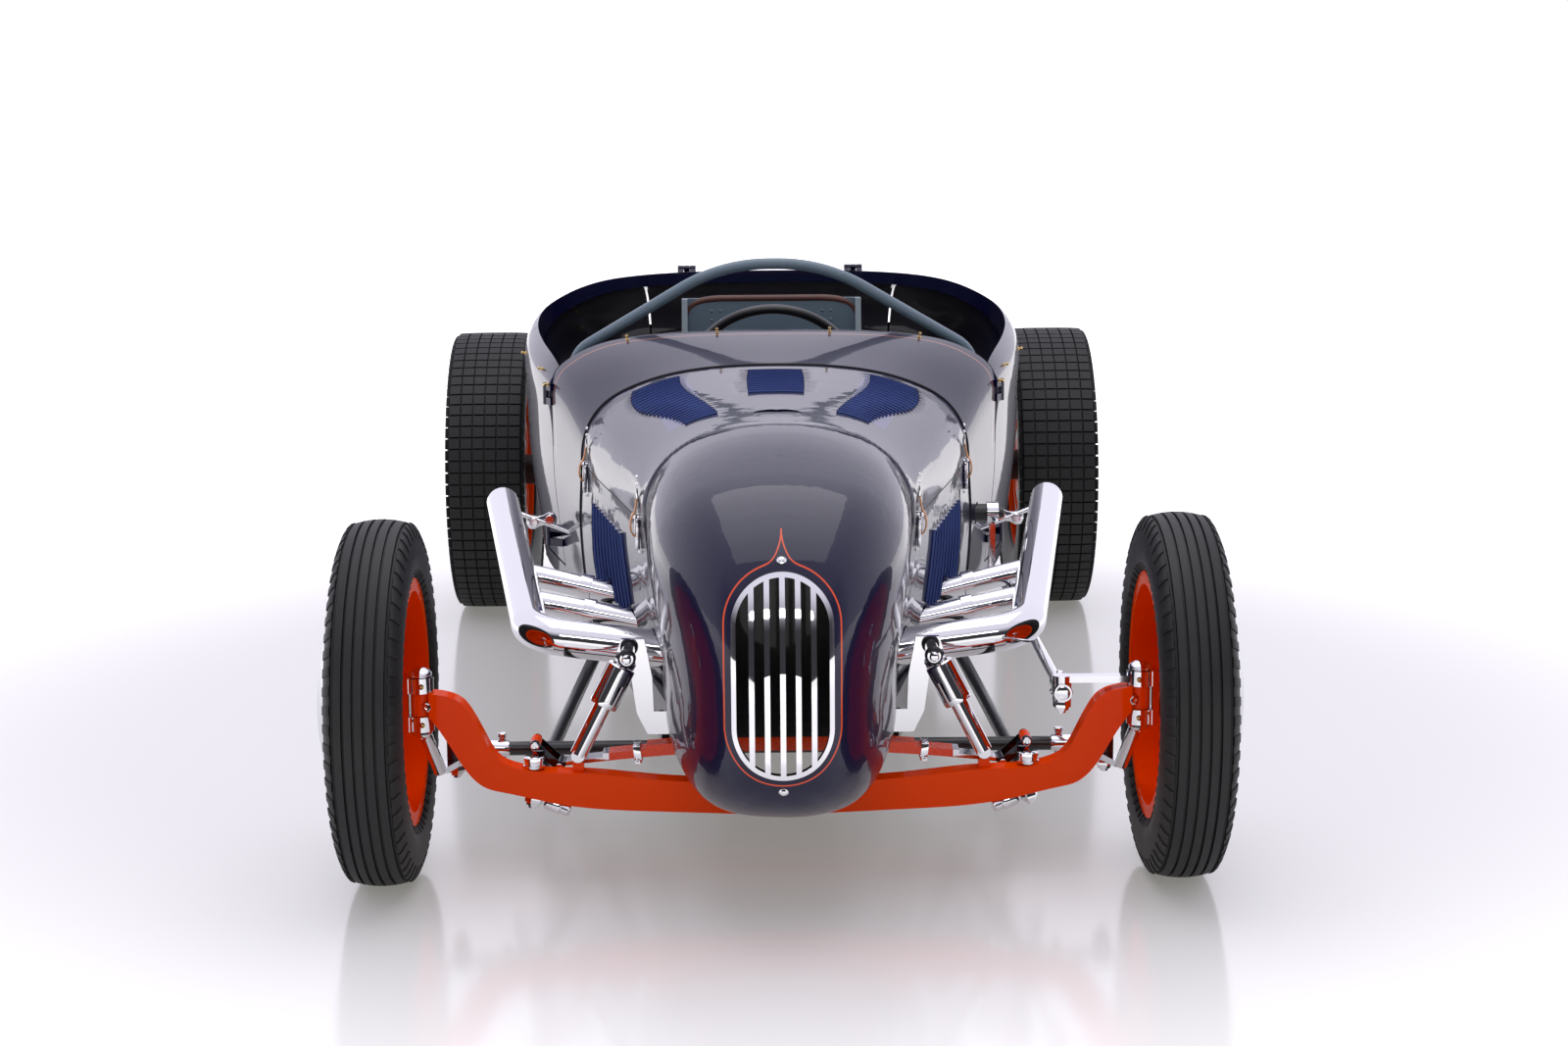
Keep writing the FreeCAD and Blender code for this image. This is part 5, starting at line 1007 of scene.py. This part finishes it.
# Scoop slats: three bent strips of lacquered aluminium, riveted across the hood's air slot at
# a slant that keeps rain out.
slat = band([(-0.009, -0.003), (-0.003, -0.002), (0.003, 0.002), (0.009, 0.003)], 0.0022, 0.088, 0.0006)
slats = copied(slat, [Matrix.Translation((0, y, 0.8010)) for y in (-1.023, -1.004, -0.985)])
finish_piece(slats, "scoop_slats", navy_lacquer, "chassis")


# Cowl roll: the cowl's rear edge is wired, which is to say rolled over a rod, so its sheet
# ends in a round bead over the dash.
ROLL_STEPS = 12
ROLL_ANGLE = 6.6
ROLL_HUB = (0, -0.046, 0.52)
ROLL_PLACE = -0.0405
ROLL_RADIUS = 0.0065
ROLL_SUNK = 0.0045
roll_points = []
for step in range(-ROLL_STEPS, ROLL_STEPS + 1):
    angle = math.radians(step * ROLL_ANGLE)
    out = Vector((math.sin(angle), 0, math.cos(angle)))
    skin_frame = on_skin("cowl", Vector(ROLL_HUB) + out * 1.2, -out, BACKWARD)
    inward = skin_frame.translation - skin_frame.col[2].xyz * ROLL_SUNK
    roll_points.append((inward.x, ROLL_PLACE, inward.z))
finish_piece(bent_bar(roll_points, ROLL_RADIUS), "cowl_roll", navy_lacquer, "chassis")


# Axle fittings: kingpin caps, lock pins, perch nuts and shock studs, all turned and plated
# steel, screwed to the ends and pads of the axle.
HEX_HEAD = [(0, 0), (0, 0.0080), (0.0040, 0.0080), (0.0050, 0.0066), (0.0050, 0.0035), (0.0028, 0.0032),
            (0.0028, 0)]
CASTLE_NUT = [(0, 0), (0, 0.0150), (0.0030, 0.0165), (0.0120, 0.0165), (0.0130, 0.0125), (0.0180, 0.0120),
              (0.0180, 0.0075), (0.0230, 0.0070), (0.0240, 0.0050), (0.0240, 0)]
KINGPIN_CAP = [(0, 0), (0, 0.0205), (0.0045, 0.0215), (0.0070, 0.0205), (0.0110, 0.0165), (0.0150, 0.0090),
               (0.0165, 0)]
KINGPIN_PLUG = [(0, 0), (0, 0.0185), (0.0045, 0.0195), (0.0080, 0.0170), (0.0125, 0.0100), (0.0140, 0)]
PIN_WASHER = [(0, 0), (0, 0.0092), (0.0014, 0.0092), (0.0020, 0.0070), (0.0020, 0)]
PERCH_BOSS = [(0, 0), (0, 0.0190), (0.0050, 0.0195), (0.0065, 0.0170), (0.0120, 0.0170), (0.0135, 0.0190),
              (0.0190, 0.0185), (0.0200, 0.0120), (0.0200, 0)]
SHOCK_STUD = [(0, 0), (0, 0.0130), (0.0040, 0.0145), (0.0260, 0.0145), (0.0300, 0.0125), (0.0300, 0.0085),
              (0.0330, 0.0085), (0.0330, 0.0120), (0.0450, 0.0120), (0.0470, 0.0100), (0.0470, 0)]
axle_y = FRONT_AXLE[0]
axle_bits = []
for side in (1, -1):
    axle_bits.append(turned(KINGPIN_CAP, (side * 0.645, axle_y, 0.3738), UP, 28))
    axle_bits.append(turned(KINGPIN_PLUG, (side * 0.645, axle_y, 0.2742), DOWN, 28))
    axle_bits.append(turned(PIN_WASHER, (side * 0.632, axle_y - 0.0185, 0.3215), FORWARD, 24))
    axle_bits.append(turned(HEX_HEAD, (side * 0.632, axle_y - 0.0195, 0.3215), FORWARD, 6))
    perch_nut = turned(CASTLE_NUT, (0, 0, -0.0005), UP, 6)
    perch_nut.data.transform(on_skin("front_axle", (side * 0.445, axle_y, 0), UP, BACKWARD))
    axle_bits.append(perch_nut)
    axle_bits.append(turned(PERCH_BOSS, (side * 0.445, axle_y, 0.2040), UP, 28))
    pad = on_skin("front_axle", (side * 0.424, axle_y - 0.002, 0), UP, BACKWARD).translation
    axle_bits.append(turned(SHOCK_STUD, pad - Vector((0, 0, 0.0050)), (-side * 0.86, -0.22, -0.30), 16))
finish_piece(joined(axle_bits), "axle_fittings", chrome_plate, "chassis", 32)


# Spring fittings: shackle bolts, and a bent steel clamp with its bolt round the leaves at
# each side, all plated.
CLAMP_BOLT = [(0, 0), (0, 0.0055), (0.0040, 0.0055), (0.0040, 0.0030), (0.0080, 0.0028), (0.0080, 0)]
CLAMP_LINE = [(-0.0245, -0.0145), (-0.0245, 0.0145), (0.0245, 0.0145), (0.0245, -0.0145),
              (-0.0235, -0.0145)]
spring_bits = []
for side in (1, -1):
    for x, z in ((0.402, 0.196), (0.445, 0.236)):
        for y, run in ((-1.2620, FORWARD), (-1.2080, BACKWARD)):
            spring_bits.append(turned(HEX_HEAD, (side * x, y, z), run, 16))
    clamp = band(CLAMP_LINE, 0.0030, 0.0130, 0.0006)
    clamp.data.transform(Matrix.Translation((side * 0.2600, -1.235, 0.2165))
                         @ Matrix.Rotation(side * math.radians(7.5), 4, "Y"))
    spring_bits.append(clamp)
    spring_bits.append(turned(CLAMP_BOLT, (side * 0.2600, -1.2600, 0.2040), FORWARD, 6))
finish_piece(joined(spring_bits), "spring_fittings", chrome_plate, "chassis", 32)


# Knuckle fittings: brass grease nipples screwed into the bosses, and the plated castle nut
# under each tie-rod arm.
NIPPLE = [(0, 0), (0, 0.0046), (0.0036, 0.0046), (0.0040, 0.0028), (0.0075, 0.0024), (0.0085, 0.0034),
          (0.0105, 0.0032), (0.0120, 0.0018), (0.0120, 0)]
for side_name, side in SIDES:
    knuckle = "knuckle_" + side_name
    nipples = joined([turned(NIPPLE, (side * 0.640, -1.3132, z), FORWARD, 12) for z in (0.3590, 0.2890)])
    finish_piece(nipples, "grease_nipples_" + side_name, lacquered_brass, knuckle)
    arm_nut = turned(CASTLE_NUT, (side * 0.600, -1.150, 0.1735), DOWN, 6)
    finish_piece(arm_nut, "arm_nut_" + side_name, chrome_plate, knuckle)


# Tie-rod ends: plated sockets, each clamped on the painted tube by a bolt through its split
# end.
SOCKET = [(0, 0), (0, 0.0150), (0.0020, 0.0165), (0.0420, 0.0165), (0.0450, 0.0150), (0.0450, 0)]
SOCKET_BOLT_APART = 0.008
SOCKET_BOLT = [(0, 0), (0, 0.0068), (0.0140, 0.0068), (0.0150, 0.0085), (0.0210, 0.0085), (0.0220, 0.0070),
               (0.0220, 0)]
TIE_ROD_Y = -1.150
TIE_ROD_HEIGHT = 0.2035
socket_bits = []
for side in (1, -1):
    socket_bits.append(turned(SOCKET, (side * 0.5450, TIE_ROD_Y, TIE_ROD_HEIGHT), (-side, 0, 0), 24))
    for run in (1, -1):
        bolt_place = (side * 0.5140, TIE_ROD_Y, TIE_ROD_HEIGHT + run * SOCKET_BOLT_APART)
        socket_bits.append(turned(SOCKET_BOLT, bolt_place, (0, 0, run), 12))
finish_piece(joined(socket_bits), "tie_rod_sockets", chrome_plate, "tie_rod", 32)


# Drag-link end: a plated steel socket with two clamp bolts through it, a round plug screwed
# into its front, and a castle nut on its ball stud.
LINK_SOCKET = [(0, 0), (0, 0.0160), (0.0030, 0.0175), (0.0320, 0.0175), (0.0360, 0.0140), (0.0900, 0.0140),
               (0.0930, 0.0115), (0.0930, 0)]
LINK_PLUG = [(0, 0), (0, 0.0125), (0.0020, 0.0125), (0.0030, 0.0100), (0.0030, 0)]
LINK_BOLT = [(0, 0), (0, 0.0045), (0.0150, 0.0045), (0.0155, 0.0075), (0.0205, 0.0075), (0.0215, 0.0060),
             (0.0215, 0)]
link_front = Vector((0.505, -1.290, 0.3345))
link_rear = Vector((0.4865, -0.250, 0.348))
link_run = (link_rear - link_front).normalized()
link_tip = link_front - link_run * 0.018
link_bits = [turned(LINK_SOCKET, link_tip, link_run, 24), turned(LINK_PLUG, link_tip, -link_run, 24)]
for along in (0.048, 0.070):
    for run in (1, -1):
        link_bits.append(turned(LINK_BOLT, link_front + link_run * along, (0.35 * run, 0, run), 6))
link_bits.append(turned(CASTLE_NUT, link_front - Vector((0, 0, 0.0165)), DOWN, 6))
finish_piece(joined(link_bits), "drag_link_socket", chrome_plate, "drag_link", 32)


# Shock covers: plated tubes with long pressed slots over the upper half of each shock, and a
# rubber bush and acorn nut where it hangs on its bracket.
COVER = [(0, 0.0200), (0, 0.0250), (0.0030, 0.0262), (0.0100, 0.0262), (0.0300, 0.0262), (0.0500, 0.0262),
         (0.0700, 0.0262), (0.0760, 0.0262), (0.0790, 0.0240), (0.0790, 0.0200)]
COVER_STEPS = 24
SLOT_RIM = 0.0009
SLOT_DEPTH = 0.0022
ACORN_NUT = [(0, 0), (0, 0.0120), (0.0018, 0.0120), (0.0024, 0.0085), (0.0080, 0.0085), (0.0115, 0.0062),
             (0.0130, 0)]
BUSH = [(0, 0), (0, 0.0150), (0.0040, 0.0165), (0.0110, 0.0165), (0.0145, 0.0140), (0.0145, 0)]
bush_rubber = rubber("black_rubber_bush", "#101011", "#222223", 0.55, 0.5)
covers = []
bushes = []
for side in (1, -1):
    foot = Vector((side * 0.365, -1.290, 0.226))
    head = Vector((side * 0.275, -1.268, 0.402))
    run = (head - foot).normalized()
    base = foot + run * (head - foot).length * 0.50
    cover = turned(COVER, base, run, COVER_STEPS, closed=True)

    def is_slot(centre, normal, base=base, run=run):
        """Every third face round the outside, between the ends."""
        along = (centre - base).dot(run)
        spoke = centre - base - run * along
        turn = math.atan2(spoke.cross(Vector(BACKWARD)).dot(run), spoke.dot(Vector(BACKWARD)))
        step = int(math.floor(turn / (2 * math.pi) * COVER_STEPS + 0.25))
        return 0.011 < along < 0.069 and spoke.dot(normal) > 0 and step % 3 == 0

    select_faces(cover, is_slot)
    bpy.ops.mesh.inset(thickness=SLOT_RIM)
    bpy.ops.mesh.extrude_region_shrink_fatten(TRANSFORM_OT_shrink_fatten={"value": -SLOT_DEPTH})
    bpy.ops.object.mode_set(mode="OBJECT")
    covers.append(cover)
    covers.append(turned(ACORN_NUT, head + Vector((0, -0.0270, 0)), FORWARD, 24))
    bushes.append(turned(BUSH, head + Vector((0, -0.0125, 0)), FORWARD, 24))
finish_piece(joined(covers), "shock_covers", chrome_plate, "chassis", 32)
finish_piece(joined(bushes), "shock_bushes", bush_rubber, "chassis", 32)


# Pipe hangers: a cast and plated dog-bone with two round bolts, between each tail pipe and
# the body.
BONE_HALF = [(-0.034, 0), (-0.030, 0.0125), (-0.018, 0.0155), (-0.006, 0.0110), (0.006, 0.0110),
             (0.018, 0.0155), (0.030, 0.0125)]
HANGER_BOLT = [(0, 0), (0, 0.0105), (0.0040, 0.0105), (0.0055, 0.0090), (0.0055, 0.0060), (0.0035, 0.0055),
               (0.0035, 0)]


def facing(spot, outward, upward):
    """A frame at a place with Z along outward."""
    outward = Vector(outward).normalized()
    across = Vector(upward).cross(outward).normalized()
    return Matrix.Translation(spot) @ Matrix((across, outward.cross(across), outward)).transposed().to_4x4()


hanger_bits = []
for side in (1, -1):
    hanger_frame = facing((side * 0.512, -0.142, 0.463), FORWARD, (0.18 * side, 0, 1))
    bone = drawn_plate(BONE_HALF + [(-x, -y) for x, y in BONE_HALF], 0.012, 0.0025)
    bolts = [turned(HANGER_BOLT, (across, 0, 0.0115), UP, 20) for across in (-0.018, 0.018)]
    for bit in [bone] + bolts:
        bit.data.transform(hanger_frame)
        hanger_bits.append(bit)
finish_piece(joined(hanger_bits), "pipe_hangers", chrome_plate, "chassis", 35)


# Brake plates: steel pressed with two ribs and painted orange, with a plated rim, bolted
# behind each rear drum.
PLATE_RIM = [(0, 0.1490), (0.0010, 0.1600), (0.0060, 0.1640), (0.0110, 0.1600), (0.0120, 0.1490)]
PLATE = [(0, 0.0420), (-0.0030, 0.0450), (-0.0030, 0.0700), (0, 0.0740), (0, 0.1000), (-0.0026, 0.1030),
         (-0.0026, 0.1260), (0, 0.1300), (0, 0.1490), (0.0020, 0.1490), (0.0020, 0.0420)]
rims = []
plates = []
for side in (1, -1):
    centre = (side * 0.6680,) + REAR_AXLE
    rims.append(turned(PLATE_RIM, centre, (side, 0, 0), 64, closed=True))
    plates.append(turned(PLATE, centre, (side, 0, 0), 48, closed=True))
finish_piece(joined(rims), "brake_plate_rims", chrome_plate, "chassis", 35)
finish_piece(joined(plates), "brake_plates", orange_enamel, "chassis", 35)


# Disc fasteners: five plated quarter-turn buttons in a ring, which hold each spun disc to its
# wheel.
DISC_BUTTON = [(0, 0), (0, 0.0105), (0.0012, 0.0108), (0.0020, 0.0080), (0.0036, 0.0070), (0.0044, 0)]
DISC_BUTTONS = 5
DISC_RING = 0.196
for axle_name, (axle_y, axle_z) in (("front", FRONT_AXLE), ("rear", REAR_AXLE)):
    for side_name, side in SIDES:
        wheel = "%s_%s" % (axle_name, side_name)
        frames = []
        for index in range(DISC_BUTTONS):
            angle = math.radians(90) + 2 * math.pi * index / DISC_BUTTONS
            start = (side * 1.2, axle_y + DISC_RING * math.cos(angle), axle_z + DISC_RING * math.sin(angle))
            frames.append(on_skin("disc_" + wheel, start, (-side, 0, 0), BACKWARD))
        buttons = copied(turned(DISC_BUTTON, ORIGIN, UP, 20), frames)
        finish_piece(buttons, "disc_buttons_" + wheel, chrome_plate, "wheel_" + wheel)


# Seat back: a rolled leather edge sewn around the aluminium shell, and two columns of flush
# rivets on each side of its front.
PIPING_RADIUS = 0.0085
_, seat_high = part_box("seat")
edge_x = seat_high[0] - 0.006
edge_y = seat_high[1] - 0.010
edge_top = seat_high[2] - 0.001
piping_half = [(edge_x, edge_y, 0.600), (edge_x, edge_y, 0.760), (edge_x, edge_y, edge_top - 0.060),
               (edge_x - 0.012, edge_y, edge_top - 0.014), (edge_x - 0.060, edge_y, edge_top),
               (0.080, edge_y, edge_top)]
piping = bent_bar([(-x, y, z) for x, y, z in piping_half] + piping_half[::-1], PIPING_RADIUS)
finish_piece(piping, "seat_piping", brown_leather, "chassis", 50)
FLUSH_RIVET = [(0, 0), (0, 0.0038), (0.0010, 0.0034), (0.0020, 0.0018), (0.0022, 0)]
RIVET_PITCH = 0.022
rivet_frames = []
for side in (1, -1):
    for row in range(2):
        for index in range(5):
            start = (side * (0.125 + RIVET_PITCH * row), 0.300, 0.845 - RIVET_PITCH * index)
            rivet_frames.append(on_skin("seat", start, BACKWARD, UP))
rivets = copied(turned(FLUSH_RIVET, ORIGIN, UP, 12), rivet_frames)
finish_piece(rivets, "seat_rivets", grey_blue_paint, "chassis")
